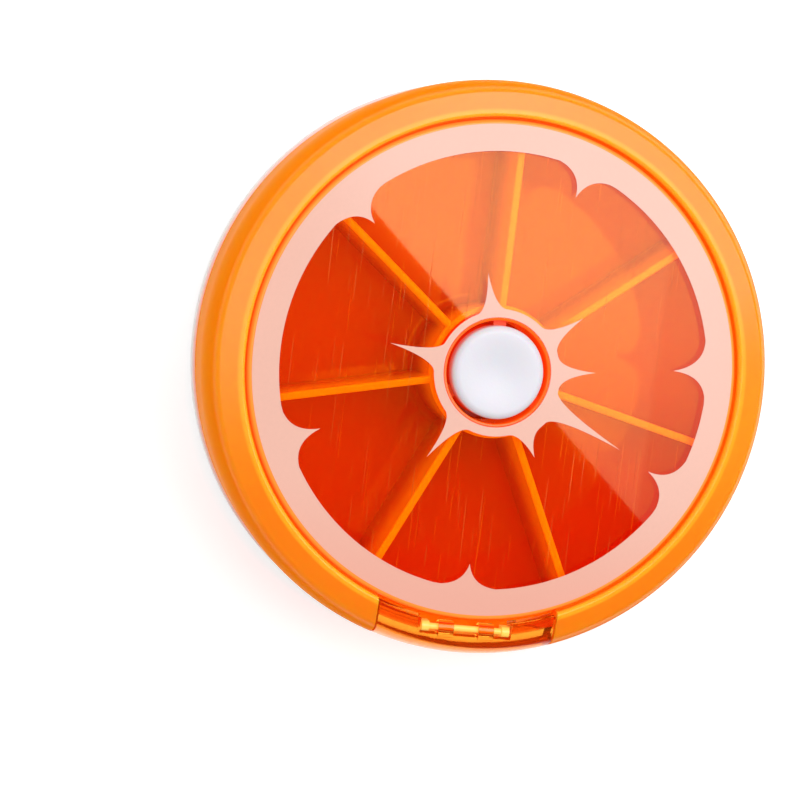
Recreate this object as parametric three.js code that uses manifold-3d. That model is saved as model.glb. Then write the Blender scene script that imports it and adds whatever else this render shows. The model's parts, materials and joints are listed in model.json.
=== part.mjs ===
// Round pill box: seven compartments in a wheel that a push button turns one place at a time.
// Millimetres, +Z up through the lens, origin on the axis at the resting face, outlet door at -Y.
import * as THREE from 'three';
import { mergeVertices } from 'three/addons/utils/BufferGeometryUtils.js';
import Module from 'manifold-3d';

const wasm = await Module();
wasm.setup();

// General
const clearance = 0.3;
const wall = 1.8;
const overrun = 1;
const compartmentCount = 7;
const compartmentTurn = (2 * Math.PI) / compartmentCount;
const doorAngle = -Math.PI / 2;
const roundSides = 54;
const smallSides = 30;
const arcSteps = 2;
const curveSteps = 6;

// Back cover
const bodyRadius = 45;
const coverLip = 0.4;
const coverRim = 6.3;
const coverFloor = 2;
const coverEdgeRound = 3.5;
const spigotWall = 1.5;
const spigotHeight = 3.3;
const snapReach = 0.6;
const snapHeight = 1;
const snapDrop = 0.4;
const snapWidth = 9;
const snapCount = 4;
const bossHeight = 5.3;
const bossWall = 3.5;
const ribWall = 1.2;

// Front shell
const wallRise = 10.4;
const shoulderRise = 7.9;
const lipWidth = 1.8;
const lipRise = 1.4;
const seatWidth = 1.8;
const seatThickness = 1.4;

// Lens and its button guide
const rimWidth = 6.3;
const lensThickness = 2;
const lensDrop = 0.7;
const lensBevelWidth = 0.7;
const lensBevelHeight = 1.2;
const lensKeyWidth = 1.4;
const lensKeyReach = 0.6;
const lensKeyAngle = THREE.MathUtils.degToRad(-160.4);
const guideWall = 1.2;
const guideLength = 6;

// Ink on the lens
const inkThickness = 0.12;
const inkMargin = 0.8;
const rindWidth = 4.1;
const starMargin = 0.5;
const starWebWidth = 1.8;

// Button
const buttonRadius = 7.2;
const buttonGap = 0.8;
const buttonProud = 1.2;
const buttonTravel = 3.2;
const buttonTop = 1.4;
const buttonDish = 0.5;
const buttonEdgeRound = 1.2;
const skirtWall = 1.2;
const skirtTail = 1.5;
const keyWidth = 2;
const keyHeight = 3.5;
const keyCount = 3;
const plugBoreRadius = 1.8;
const plugWall = 1.1;
const plugDepth = 3;

// Plunger
const screwRadius = 2.5;
const screwLobe = 0.45;
const screwLobes = 3;
const screwSides = 24;
const screwTail = 0.8;
const plungerFlangeRadius = 3.6;
const plungerFlange = 1.2;

// Drive collar and pawl spring
const collarGap = 1;
const collarHeight = 4.6;
const collarSpigotRadius = 4.6;
const collarSpigotLength = 1.6;
const collarGrooveDepth = 1.1;
const collarGrooveRise = 0.8;
const pawlStrip = 0.5;
const pawlHeight = 1.4;
const pawlCount = 2;
const pawlArc = THREE.MathUtils.degToRad(52);

// Springs
const springWire = 0.6;
const springTurns = 6;
const springSides = 3;
const springStepsPerTurn = 10;
const washerThickness = 0.4;
const washerEdge = 0.8;
const leafThickness = 0.4;
const leafHeight = 2.2;
const leafReach = 14.6;
const leafEnd = 1.6;
const leafNoseHalf = 1.7;
const leafPostLength = 2.4;
const leafPostDepth = 1.4;

// Wheel
const wheelLift = 4.3;
const wheelFloor = 1.2;
const wheelPlay = 0.4;
const wheelGap = 0.5;
const dividerThickness = 1.2;
const dividerStep = 0.5;
const dividerChamfer = 1.4;
const hubWall = 0.9;
const hubFillet = 1.2;
const bearingHeight = 1.7;
const toothDepth = 1.2;
const toothLift = 0.6;
const toothHeight = 2.4;
const toothBacking = 0.7;
const indexRingRadius = 16.5;
const indexRingWall = 3.5;
const indexRingHeight = 2.7;
const notchDepth = 1.3;
const notchHalf = 1.7;

// Outlet door and its hinge
const doorHalfWidth = 14;
const doorThickness = 1.6;
const doorTopGap = 1.1;
const hingeReach = 1.5;
const hingeBarRadius = 0.5;
const hingeLugRadius = 0.8;
const hingeLugWidth = 1.2;
const hingeHalfLength = 6.4;
const hookOuterRadius = 1.2;
const hookWidth = 2.4;
const hookPlace = 3.2;
const hookMouth = 0.8;
const nailGrooveRadius = 0.7;
const nailGrooveHalf = 6;
const nailGrooveRise = 2.2;
const sillStep = 2;
const sillDrop = 0.3;

// Heights that follow from the sizes above
const shellFoot = coverRim + clearance;
const shoulderFoot = shellFoot + wallRise;
const crownTop = shoulderFoot + shoulderRise;
const lensTop = crownTop - lensDrop;
const seatTop = lensTop - lensThickness;
const seatUnder = seatTop - seatThickness;
const lipTop = seatTop + lipRise;
const spigotTop = coverRim + spigotHeight;
const bossTop = coverFloor + bossHeight;
const wheelUnder = coverFloor + wheelLift;
const wheelFloorTop = wheelUnder + wheelFloor;
const hubTop = seatTop - wheelPlay;
const dividerTop = seatUnder - dividerStep;
const ribTop = wheelUnder - clearance;
const collarFoot = bossTop + clearance;
const collarTop = collarFoot + collarHeight;
const pawlGrooveFoot = collarFoot + collarGrooveRise;
const pawlFoot = pawlGrooveFoot + clearance;
const pawlGrooveTop = pawlFoot + pawlHeight + clearance;
const toothFoot = collarFoot + toothLift;
const buttonCrown = lensTop + buttonProud;
const capUnder = buttonCrown - buttonDish - buttonTop;
const keyTop = seatTop - clearance;
const keyFoot = keyTop - keyHeight;
const skirtFoot = keyFoot - skirtTail;
const washerFoot = collarTop + clearance;
const washerTop = washerFoot + washerThickness;
const springFoot = washerTop + clearance;
const springTop = capUnder - clearance;
const hingeHeight = crownTop - hookOuterRadius;

// Radii that follow from the sizes above
const coverRadius = bodyRadius + coverLip;
const shellInner = bodyRadius - wall;
const spigotOuter = shellInner - clearance;
const spigotInner = spigotOuter - spigotWall;
const lensRadius = bodyRadius - rimWidth;
const rindRadius = lensRadius - inkMargin;
const fleshRadius = rindRadius - rindWidth;
const recessRadius = lensRadius + clearance;
const crownRadius = recessRadius + lipWidth;
const seatRadius = lensRadius - seatWidth;
const lensHoleRadius = buttonRadius + buttonGap;
const guideRadius = lensHoleRadius + guideWall;
const hubInner = guideRadius + clearance;
const hubRadius = hubInner + hubWall;
const starHoleRadius = lensHoleRadius + starMargin;
const starWebRadius = starHoleRadius + starWebWidth;
const toothWallRadius = hubInner - toothBacking;
const toothTip = toothWallRadius - toothDepth;
const collarRadius = toothTip - collarGap;
const collarGrooveRadius = collarRadius - collarGrooveDepth;
const springRadius = plungerFlangeRadius + 2 * clearance + springWire / 2;
const washerBoreRadius = springRadius - springWire / 2 - 2 * clearance;
const washerOuterRadius = springRadius + springWire / 2 + washerEdge;
const wheelRadius = spigotInner - wheelGap;
const dividerRadius = shellInner - wheelGap;
const bossBore = collarSpigotRadius + clearance;
const bossRadius = bossBore + bossWall;
const screwTurnPerLength = compartmentTurn / buttonTravel;
const hingePlace = lensRadius + hingeReach;
const sillHalfWidth = doorHalfWidth - sillStep;
const leafLine = indexRingRadius + leafThickness + clearance;
const leafFoot = coverFloor + clearance;
const ribRadius = Math.hypot(leafReach, leafLine + leafEnd) + clearance + ribWall;

// Any closed geometry as a solid, with its faces turned outwards
function solidOf(geometry) {
  const bare = geometry.index ? geometry.toNonIndexed() : geometry.clone();
  bare.deleteAttribute('normal');
  bare.deleteAttribute('uv');
  const merged = mergeVertices(bare, clearance / 1000);
  const place = merged.attributes.position;
  const corners = Array.from(merged.index.array);
  const a = new THREE.Vector3();
  const b = new THREE.Vector3();
  const c = new THREE.Vector3();
  const triangles = [];
  let volume = 0;
  for (let i = 0; i < corners.length; i += 3) {
    const [p, q, r] = corners.slice(i, i + 3);
    if (p === q || q === r || r === p) continue;
    triangles.push([p, q, r]);
    a.fromBufferAttribute(place, p);
    b.fromBufferAttribute(place, q);
    c.fromBufferAttribute(place, r);
    volume += a.dot(b.cross(c));
  }
  const outward = volume < 0 ? triangles.map(([p, q, r]) => [p, r, q]) : triangles;
  return new wasm.Manifold(
    new wasm.Mesh({
      numProp: 3,
      vertProperties: new Float32Array(place.array),
      triVerts: new Uint32Array(outward.flat()),
    }),
  );
}

function geometryOf(solid) {
  const mesh = solid.getMesh();
  const geometry = new THREE.BufferGeometry();
  geometry.setAttribute('position', new THREE.BufferAttribute(new Float32Array(mesh.vertProperties), 3));
  geometry.setIndex(new THREE.BufferAttribute(new Uint32Array(mesh.triVerts), 1));
  geometry.computeVertexNormals();
  return geometry;
}

// A closed outline of [radius, height] turned round the Z axis
function revolve(points, sides = roundSides) {
  const ring = points.map(([radius, height]) => new THREE.Vector2(radius, height));
  ring.push(ring[0].clone());
  const geometry = new THREE.LatheGeometry(ring, sides);
  geometry.rotateX(Math.PI / 2);
  return solidOf(geometry);
}

function pathPoints(path, steps = arcSteps) {
  return path.getPoints(steps).map((point) => [point.x, point.y]);
}

// A flat shape in XY raised from one height to another
function raise(shape, from, to) {
  const settings = { depth: to - from, bevelEnabled: false, curveSegments: curveSteps };
  const geometry = new THREE.ExtrudeGeometry(shape, settings);
  geometry.translate(0, 0, from);
  return solidOf(geometry);
}

function polygon(points) {
  return new THREE.Shape(points.map(([x, y]) => new THREE.Vector2(x, y)));
}

function block(x0, x1, y0, y1, z0, z1) {
  const geometry = new THREE.BoxGeometry(x1 - x0, y1 - y0, z1 - z0);
  geometry.translate((x0 + x1) / 2, (y0 + y1) / 2, (z0 + z1) / 2);
  return solidOf(geometry);
}

function disc(radius, from, to, sides = roundSides) {
  return revolve([[0, from], [radius, from], [radius, to], [0, to]], sides);
}

function ring(inner, outer, from, to, sides = roundSides) {
  return revolve([[inner, from], [outer, from], [outer, to], [inner, to]], sides);
}

// A rod along X
function crossRod(radius, x0, x1, y, z) {
  const geometry = new THREE.CylinderGeometry(radius, radius, x1 - x0, smallSides / 2);
  geometry.rotateZ(Math.PI / 2);
  geometry.translate((x0 + x1) / 2, y, z);
  return solidOf(geometry);
}

// A flat shape in YZ drawn out along X
function crossShape(shape, x0, x1) {
  const settings = { depth: x1 - x0, bevelEnabled: false, curveSegments: curveSteps };
  const geometry = new THREE.ExtrudeGeometry(shape, settings);
  geometry.rotateX(Math.PI / 2);
  geometry.rotateZ(Math.PI / 2);
  geometry.translate(x0, 0, 0);
  return solidOf(geometry);
}

function turned(solid, angle) {
  return solid.rotate([0, 0, THREE.MathUtils.radToDeg(angle)]);
}

function around(solid, count, start = 0) {
  return Array.from({ length: count }, (_, i) => turned(solid, start + (i * 2 * Math.PI) / count));
}

function joined(solids) {
  return solids.reduce((whole, solid) => whole.add(solid));
}

function polar(radius, angle) {
  return [radius * Math.cos(angle), radius * Math.sin(angle)];
}

// Back cover: dished white half with the snap spigot, the collar boss and the rib that carries the wheel
function backCover() {
  const outline = new THREE.Path();
  outline.moveTo(0, 0);
  outline.lineTo(coverRadius - coverEdgeRound, 0);
  outline.absarc(coverRadius - coverEdgeRound, coverEdgeRound, coverEdgeRound, -Math.PI / 2, 0, false);
  outline.lineTo(coverRadius, coverRim);
  outline.lineTo(spigotOuter, coverRim);
  outline.lineTo(spigotOuter, spigotTop);
  outline.lineTo(spigotInner, spigotTop);
  outline.lineTo(spigotInner, coverFloor);
  outline.lineTo(ribRadius, coverFloor);
  outline.lineTo(ribRadius, ribTop);
  outline.lineTo(ribRadius - ribWall, ribTop);
  outline.lineTo(ribRadius - ribWall, coverFloor);
  outline.lineTo(bossRadius, coverFloor);
  outline.lineTo(bossRadius, bossTop);
  outline.lineTo(bossBore, bossTop);
  outline.lineTo(bossBore, coverFloor);
  outline.lineTo(0, coverFloor);
  const snapTop = spigotTop - snapDrop;
  const bead = revolve([
    [spigotInner + spigotWall / 2, snapTop - snapHeight],
    [spigotOuter, snapTop - snapHeight],
    [spigotOuter + snapReach, snapTop - snapHeight / 2],
    [spigotOuter, snapTop],
    [spigotInner + spigotWall / 2, snapTop],
  ]);
  const beadSpan = block(0, bodyRadius, -snapWidth / 2, snapWidth / 2, 0, crownTop);
  const sill = block(
    -sillHalfWidth,
    sillHalfWidth,
    -bodyRadius,
    -spigotInner / 2,
    wheelFloorTop - sillDrop,
    spigotTop + overrun,
  );
  const beads = around(bead.intersect(beadSpan), snapCount, compartmentTurn / 2);
  return joined([revolve(pathPoints(outline)), ...beads, ...leafPosts()]).subtract(sill);
}

// Pairs of posts that hold the ends of the index spring
function leafPosts() {
  const nearSide = leafLine - leafThickness / 2 - clearance;
  const farSide = leafLine + leafThickness / 2 + clearance;
  const top = leafFoot + leafHeight;
  const outer = leafReach - clearance - leafThickness;
  const posts = [];
  for (const side of [-1, 1]) {
    const ends = [side * outer, side * (outer - leafPostLength)].sort((a, b) => a - b);
    posts.push(block(ends[0], ends[1], nearSide - leafPostDepth, nearSide, coverFloor / 2, top));
    posts.push(block(ends[0], ends[1], farSide, farSide + leafPostDepth, coverFloor / 2, top));
  }
  return posts;
}

// Index spring: leaf with a nose that drops into one notch of the wheel
function indexSpring() {
  const line = leafLine;
  const half = leafThickness / 2;
  const nose = line - notchDepth - half;
  const outer = [
    [-leafReach, line + leafEnd],
    [-leafReach, line - half],
    [-leafNoseHalf, line - half],
    [0, nose],
    [leafNoseHalf, line - half],
    [leafReach, line - half],
    [leafReach, line + leafEnd],
  ];
  const inner = [
    [leafReach - leafThickness, line + leafEnd],
    [leafReach - leafThickness, line + half],
    [leafNoseHalf, line + half],
    [0, nose + leafThickness + half],
    [-leafNoseHalf, line + half],
    [-leafReach + leafThickness, line + half],
    [-leafReach + leafThickness, line + leafEnd],
  ];
  return raise(polygon([...outer, ...inner]), leafFoot, leafFoot + leafHeight);
}

// The outside of the box from the shell's foot over the shoulder to the crown
function outsideOutline(path) {
  path.moveTo(bodyRadius, shellFoot);
  path.lineTo(bodyRadius, shoulderFoot);
  path.absellipse(
    crownRadius,
    shoulderFoot,
    bodyRadius - crownRadius,
    shoulderRise,
    0,
    Math.PI / 2,
    false,
    0,
  );
  return path;
}

// The block of the shell that the door fills, outside the seat of the lens
function doorway(halfWidth, seat) {
  const front = -bodyRadius - overrun;
  const span = block(-halfWidth, halfWidth, front, -bodyRadius / 2, 0, crownTop + overrun);
  return span.subtract(disc(seat, -overrun, crownTop + 2 * overrun));
}

// Front shell: round wall, rolled rim, lens seat, outlet window and the fixed half of the door hinge
function frontShell() {
  const outline = outsideOutline(new THREE.Path());
  outline.absellipse(crownRadius, lipTop, lipWidth, crownTop - lipTop, Math.PI / 2, Math.PI, false, 0);
  outline.lineTo(recessRadius, seatTop);
  outline.lineTo(seatRadius, seatTop);
  outline.lineTo(seatRadius, seatUnder);
  outline.lineTo(crownRadius, seatUnder);
  outline.absellipse(
    crownRadius,
    shoulderFoot,
    shellInner - crownRadius,
    seatUnder - shoulderFoot,
    Math.PI / 2,
    0,
    true,
    0,
  );
  const grooveTop = spigotTop - snapDrop + clearance;
  const grooveFoot = spigotTop - snapDrop - snapHeight - clearance;
  outline.lineTo(shellInner, grooveTop);
  outline.lineTo(shellInner + snapReach, grooveTop - clearance);
  outline.lineTo(shellInner + snapReach, grooveFoot + clearance);
  outline.lineTo(shellInner, grooveFoot);
  outline.lineTo(shellInner, shellFoot);
  const shelf = block(
    -hingeHalfLength - hingeLugWidth / 2,
    hingeHalfLength + hingeLugWidth / 2,
    -hingePlace - hingeLugRadius,
    -seatRadius - seatWidth / 3,
    seatUnder,
    seatTop,
  );
  const keyWay = turned(
    block(
      lensRadius - lensKeyReach,
      recessRadius + lensKeyReach,
      -lensKeyWidth / 2 - clearance,
      lensKeyWidth / 2 + clearance,
      seatTop,
      crownTop + overrun,
    ),
    lensKeyAngle,
  );
  return revolve(pathPoints(outline))
    .subtract(doorway(doorHalfWidth + clearance, lensRadius))
    .subtract(keyWay)
    .add(shelf)
    .add(joined(hingeLugs()))
    .add(crossRod(hingeBarRadius, -hingeHalfLength, hingeHalfLength, -hingePlace, hingeHeight));
}

function hingeLugs() {
  const lug = new THREE.Shape();
  lug.moveTo(-hingePlace - hingeLugRadius, seatUnder);
  lug.lineTo(-hingePlace + hingeLugRadius, seatUnder);
  lug.lineTo(-hingePlace + hingeLugRadius, hingeHeight);
  lug.absarc(-hingePlace, hingeHeight, hingeLugRadius, 0, Math.PI, false);
  lug.lineTo(-hingePlace - hingeLugRadius, seatUnder);
  return [-1, 1].map((side) => {
    const middle = side * hingeHalfLength;
    return crossShape(lug, middle - hingeLugWidth / 2, middle + hingeLugWidth / 2);
  });
}

// Outlet door: the missing piece of the shell's wall and shoulder, hooked on the hinge bar
function outletDoor() {
  const topRadius = lensRadius + doorTopGap;
  const outline = outsideOutline(new THREE.Path());
  outline.lineTo(topRadius, crownTop - (crownRadius - topRadius) / 2);
  outline.lineTo(topRadius, crownTop - doorThickness);
  outline.lineTo(crownRadius, crownTop - doorThickness);
  outline.absellipse(
    crownRadius,
    shoulderFoot,
    bodyRadius - doorThickness - crownRadius,
    shoulderRise - doorThickness,
    Math.PI / 2,
    0,
    true,
    0,
  );
  outline.lineTo(bodyRadius - doorThickness, shellFoot);
  const hingeSpan = hingeHalfLength + hingeLugWidth / 2 + clearance;
  const hingeNotch = block(
    -hingeSpan,
    hingeSpan,
    -hingePlace - hingeLugRadius - clearance,
    0,
    0,
    crownTop + overrun,
  );
  const nailRing = new THREE.Path();
  nailRing.absarc(bodyRadius, shellFoot + nailGrooveRise, nailGrooveRadius, 0, 2 * Math.PI, false);
  const nailGroove = revolve(pathPoints(nailRing, curveSteps).slice(1)).intersect(
    block(-nailGrooveHalf, nailGrooveHalf, -bodyRadius - overrun, 0, 0, crownTop),
  );
  return revolve(pathPoints(outline))
    .intersect(doorway(doorHalfWidth, lensRadius + clearance))
    .subtract(hingeNotch)
    .add(joined(hooks()))
    .subtract(crossRod(hingeBarRadius + clearance, -hingeSpan, hingeSpan, -hingePlace, hingeHeight))
    .subtract(nailGroove);
}

function hooks() {
  return [-hookPlace, hookPlace].map((middle) => {
    const x0 = middle - hookWidth / 2;
    const x1 = middle + hookWidth / 2;
    const mouth = block(
      x0 - overrun,
      x1 + overrun,
      -hingePlace,
      -hingePlace + 2 * hookOuterRadius,
      hingeHeight - hookMouth / 2,
      hingeHeight + hookMouth / 2,
    );
    const web = block(
      x0,
      x1,
      -hingePlace - hingeLugRadius - 2 * clearance,
      -hingePlace,
      hingeHeight - hookOuterRadius / 3,
      hingeHeight + hookOuterRadius,
    );
    return crossRod(hookOuterRadius, x0, x1, -hingePlace, hingeHeight).add(web).subtract(mouth);
  });
}

// Lens: flat window with a bevelled edge, a locating key and the slotted guide tube of the button
function lens() {
  const body = revolve([
    [lensHoleRadius, seatTop - guideLength],
    [guideRadius, seatTop - guideLength],
    [guideRadius, seatTop],
    [lensRadius, seatTop],
    [lensRadius, lensTop - lensBevelHeight],
    [lensRadius - lensBevelWidth, lensTop],
    [lensHoleRadius, lensTop],
  ]);
  const slot = block(
    0,
    guideRadius + clearance,
    -keyWidth / 2 - clearance,
    keyWidth / 2 + clearance,
    seatTop - guideLength - overrun,
    seatTop,
  );
  const key = block(
    lensRadius - lensBevelWidth,
    lensRadius + lensKeyReach,
    -lensKeyWidth / 2,
    lensKeyWidth / 2,
    seatTop + clearance,
    lensTop - lensBevelHeight,
  );
  return body.subtract(joined(around(slot, keyCount, keyStart()))).add(turned(key, lensKeyAngle));
}

function keyStart() {
  return -doorAngle;
}

// Directions of the six rind notches and their depth, as shares of a turn and of the flesh radius
const rindNotchShares = [
  [0.0186, 0.837],
  [0.2014, 0.87],
  [0.3806, 0.88],
  [0.565, 0.85],
  [0.7467, 0.886],
  [0.9272, 0.861],
];
const notchSpreadShare = 0.022;
const notchBendShare = 0.0035;
const notchBendRadiusShare = 0.985;

// The seven star points: direction, tip and the web that follows, as shares of a turn, flesh and web radius
const starPointShares = [
  [0.0164, 0.463, 0.96],
  [0.1058, 0.467, 0.95],
  [0.2856, 0.4536, 0.92],
  [0.4756, 0.5166, 0.97],
  [0.6558, 0.5, 0.96],
  [0.8364, 0.4308, 1.07],
  [0.93, 0.69, 0.98],
];
const starSpreadShare = 0.04;
const starBendShare = 0.01;

// Ring of ink between the lens edge and the flesh, with a pointed notch between each two segments
function rindPrint() {
  const flesh = new THREE.Shape();
  const full = 2 * Math.PI;
  const bend = fleshRadius * notchBendRadiusShare;
  rindNotchShares.forEach(([turnShare, depthShare], i) => {
    const middle = turnShare * full;
    const [nextTurnShare] = rindNotchShares[i + 1] ?? [rindNotchShares[0][0] + 1];
    const spread = notchSpreadShare * full;
    const lean = notchBendShare * full;
    if (i === 0) flesh.moveTo(...polar(fleshRadius, middle - spread));
    flesh.quadraticCurveTo(...polar(bend, middle - lean), ...polar(fleshRadius * depthShare, middle));
    flesh.quadraticCurveTo(...polar(bend, middle + lean), ...polar(fleshRadius, middle + spread));
    flesh.absarc(0, 0, fleshRadius, middle + spread, nextTurnShare * full - spread, false);
  });
  const inkTop = lensTop + inkThickness;
  return disc(rindRadius, lensTop, inkTop).subtract(raise(flesh, lensTop - overrun, inkTop + overrun));
}

// Star of ink round the button hole: a thin web with slender points that rise from it in hollow curves
function starPrint() {
  const shape = new THREE.Shape();
  const full = 2 * Math.PI;
  const spread = starSpreadShare * full;
  const lean = starBendShare * full;
  const rise = 1 / Math.cos(spread - lean);
  starPointShares.forEach(([turnShare, tipShare, webShare], i) => {
    const middle = turnShare * full;
    const web = starWebRadius * webShare;
    const webBefore = starWebRadius * starPointShares.at(i - 1)[2];
    const [nextTurnShare] = starPointShares[i + 1] ?? [starPointShares[0][0] + 1];
    const webTurn = nextTurnShare * full - middle - 2 * spread;
    const tip = polar(fleshRadius * tipShare, middle);
    if (i === 0) shape.moveTo(...polar(webBefore, middle - spread));
    shape.quadraticCurveTo(...polar(webBefore * rise, middle - lean), ...tip);
    shape.quadraticCurveTo(...polar(web * rise, middle + lean), ...polar(web, middle + spread));
    for (let step = 1; step <= arcSteps; step += 1) {
      shape.lineTo(...polar(web, middle + spread + (webTurn * step) / arcSteps));
    }
  });
  const inkTop = lensTop + inkThickness;
  const hole = disc(starHoleRadius, lensTop - overrun, inkTop + overrun, smallSides);
  return raise(shape, lensTop, inkTop).subtract(hole);
}

// Button cap: dished white cap with a skirt, guide keys and a socket for the plunger
function buttonCap() {
  const outline = new THREE.Path();
  outline.moveTo(0, buttonCrown - buttonDish);
  outline.quadraticCurveTo(
    (buttonRadius - buttonEdgeRound) / 2,
    buttonCrown - buttonDish,
    buttonRadius - buttonEdgeRound,
    buttonCrown,
  );
  outline.absarc(
    buttonRadius - buttonEdgeRound,
    buttonCrown - buttonEdgeRound,
    buttonEdgeRound,
    Math.PI / 2,
    0,
    true,
  );
  outline.lineTo(buttonRadius, skirtFoot);
  outline.lineTo(buttonRadius - skirtWall, skirtFoot);
  outline.lineTo(buttonRadius - skirtWall, capUnder);
  outline.lineTo(plugBoreRadius + plugWall, capUnder);
  outline.lineTo(plugBoreRadius + plugWall, capUnder - plugDepth);
  outline.lineTo(plugBoreRadius, capUnder - plugDepth);
  outline.lineTo(plugBoreRadius, capUnder);
  outline.lineTo(0, capUnder);
  const key = block(
    buttonRadius - skirtWall / 2,
    guideRadius - clearance,
    -keyWidth / 2,
    keyWidth / 2,
    keyFoot,
    keyTop,
  );
  return revolve(pathPoints(outline), smallSides).add(joined(around(key, keyCount, keyStart())));
}

// Three-lobed section of the twisted bar, grown by a margin for the hole that it runs in
function lobedShape(margin) {
  const points = [];
  for (let i = 0; i < screwSides; i += 1) {
    const angle = (i * 2 * Math.PI) / screwSides;
    points.push(polar(screwRadius + margin + screwLobe * Math.cos(screwLobes * angle), angle));
  }
  return polygon(points);
}

// The lobed section raised along Z and turned steadily with height
function twistedBar(margin, from, to) {
  const steps = Math.ceil((to - from) / (buttonTravel / 3));
  const geometry = new THREE.ExtrudeGeometry(lobedShape(margin), {
    depth: to - from,
    steps,
    bevelEnabled: false,
  });
  geometry.translate(0, 0, from);
  const place = geometry.attributes.position;
  const point = new THREE.Vector3();
  const axis = new THREE.Vector3(0, 0, 1);
  for (let i = 0; i < place.count; i += 1) {
    point.fromBufferAttribute(place, i);
    point.applyAxisAngle(axis, screwTurnPerLength * point.z);
    place.setXYZ(i, point.x, point.y, point.z);
  }
  return solidOf(geometry);
}

// Plunger: twisted bar with a flange and a plug that seats in the cap
function plunger() {
  const flangeTop = capUnder - plugDepth;
  const flangeFoot = flangeTop - plungerFlange;
  const tail = collarFoot - screwTail;
  return twistedBar(0, tail, flangeFoot + plungerFlange / 2)
    .add(disc(plungerFlangeRadius, flangeFoot, flangeTop, smallSides))
    .add(disc(plugBoreRadius - clearance, flangeFoot, capUnder - clearance, smallSides));
}

// Drive collar: the nut on the twisted bar, turning in the boss of the back cover
function driveCollar() {
  const spigotFoot = collarFoot - collarSpigotLength;
  const body = revolve(
    [
      [0, spigotFoot],
      [collarSpigotRadius, spigotFoot],
      [collarSpigotRadius, collarFoot],
      [collarRadius, collarFoot],
      [collarRadius, pawlGrooveFoot],
      [collarGrooveRadius, pawlGrooveFoot],
      [collarGrooveRadius, pawlGrooveTop],
      [collarRadius, pawlGrooveTop],
      [collarRadius, collarTop],
      [0, collarTop],
    ],
    smallSides,
  );
  return body.subtract(twistedBar(clearance, spigotFoot - overrun, collarTop + overrun));
}

function toothCount() {
  return pawlCount * compartmentCount;
}

// Pawl spring: split band in the collar's groove with two arms that end at ratchet teeth
function pawlSpring() {
  const inner = collarGrooveRadius + clearance;
  const outer = inner + pawlStrip;
  const tip = (toothTip + toothWallRadius) / 2;
  const pawlSteps = 2 * curveSteps;
  const arms = [];
  for (let i = 0; i < pawlCount; i += 1) {
    const end = pawlFace() + (i * 2 * Math.PI) / pawlCount;
    const near = [];
    const far = [];
    for (let step = 0; step <= pawlSteps; step += 1) {
      const share = step / pawlSteps;
      const middle = THREE.MathUtils.lerp((inner + outer) / 2, tip, share * share);
      const angle = end - pawlArc * (1 - share);
      near.push(polar(middle - pawlStrip / 2, angle));
      far.push(polar(middle + pawlStrip / 2, angle));
    }
    arms.push(raise(polygon([...near, ...far.reverse()]), pawlFoot, pawlFoot + pawlHeight));
  }
  return joined([ring(inner, outer, pawlFoot, pawlFoot + pawlHeight, smallSides), ...arms]);
}

// Where the first pawl ends, a running gap short of a steep tooth face
function pawlFace() {
  return -clearance / toothWallRadius;
}

// Ring of ratchet teeth inside the hub: each rises slowly and drops steeply
function ratchet() {
  const count = toothCount();
  const pitch = (2 * Math.PI) / count;
  const pocket = [];
  for (let i = 0; i < count; i += 1) {
    pocket.push(polar(toothTip, i * pitch));
    pocket.push(polar(THREE.MathUtils.lerp(toothTip, toothWallRadius, 1 / 2), (i + 1 / 2) * pitch));
    pocket.push(polar(toothWallRadius, (i + 1) * pitch));
  }
  const toothTop = toothFoot + toothHeight;
  const hole = raise(polygon(pocket), toothFoot - overrun, toothTop + overrun);
  return disc((hubInner + hubRadius) / 2, toothFoot, toothTop).subtract(hole);
}

// Ring under the wheel's floor with one notch for each compartment
function indexRing() {
  const shape = new THREE.Shape();
  const half = Math.asin(notchHalf / indexRingRadius);
  for (let i = 0; i < compartmentCount; i += 1) {
    const middle = -doorAngle + i * compartmentTurn;
    if (i === 0) shape.moveTo(...polar(indexRingRadius, middle - half));
    shape.lineTo(...polar(indexRingRadius - notchDepth, middle));
    shape.lineTo(...polar(indexRingRadius, middle + half));
    shape.absarc(0, 0, indexRingRadius, middle + half, middle + compartmentTurn - half, false);
  }
  const foot = wheelUnder - indexRingHeight;
  const hole = disc(indexRingRadius - indexRingWall, foot - overrun, wheelFloorTop, smallSides);
  return raise(shape, foot, wheelUnder + wheelFloor / 2).subtract(hole);
}

// Pill wheel: floor, hub and one divider at each side of every compartment
function pillWheel() {
  const bore = bossRadius + clearance;
  const bearingTop = wheelUnder + bearingHeight;
  const hub = new THREE.Path();
  hub.moveTo(bore, wheelUnder);
  hub.lineTo(wheelRadius, wheelUnder);
  hub.lineTo(wheelRadius, wheelFloorTop);
  hub.lineTo(hubRadius + hubFillet, wheelFloorTop);
  hub.absarc(hubRadius + hubFillet, wheelFloorTop + hubFillet, hubFillet, -Math.PI / 2, Math.PI, true);
  hub.lineTo(hubRadius, hubTop);
  hub.lineTo(hubInner, hubTop);
  hub.lineTo(hubInner, bearingTop);
  hub.lineTo(bore, bearingTop);
  const middleRadius = (hubInner + hubRadius) / 2;
  const stepRadius = seatRadius - dividerStep;
  const side = polygon([
    [middleRadius, wheelUnder + wheelFloor / 2],
    [wheelRadius, wheelUnder + wheelFloor / 2],
    [wheelRadius, spigotTop + clearance],
    [dividerRadius, spigotTop + clearance],
    [dividerRadius, shoulderFoot],
    [dividerRadius - dividerChamfer, dividerTop],
    [stepRadius, dividerTop],
    [stepRadius, hubTop],
    [middleRadius, hubTop],
  ]);
  const geometry = new THREE.ExtrudeGeometry(side, { depth: dividerThickness, bevelEnabled: false });
  geometry.translate(0, 0, -dividerThickness / 2);
  geometry.rotateX(Math.PI / 2);
  const dividers = around(solidOf(geometry), compartmentCount, -doorAngle);
  return joined([revolve(pathPoints(hub)), ...dividers, ratchet(), indexRing()]);
}

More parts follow.
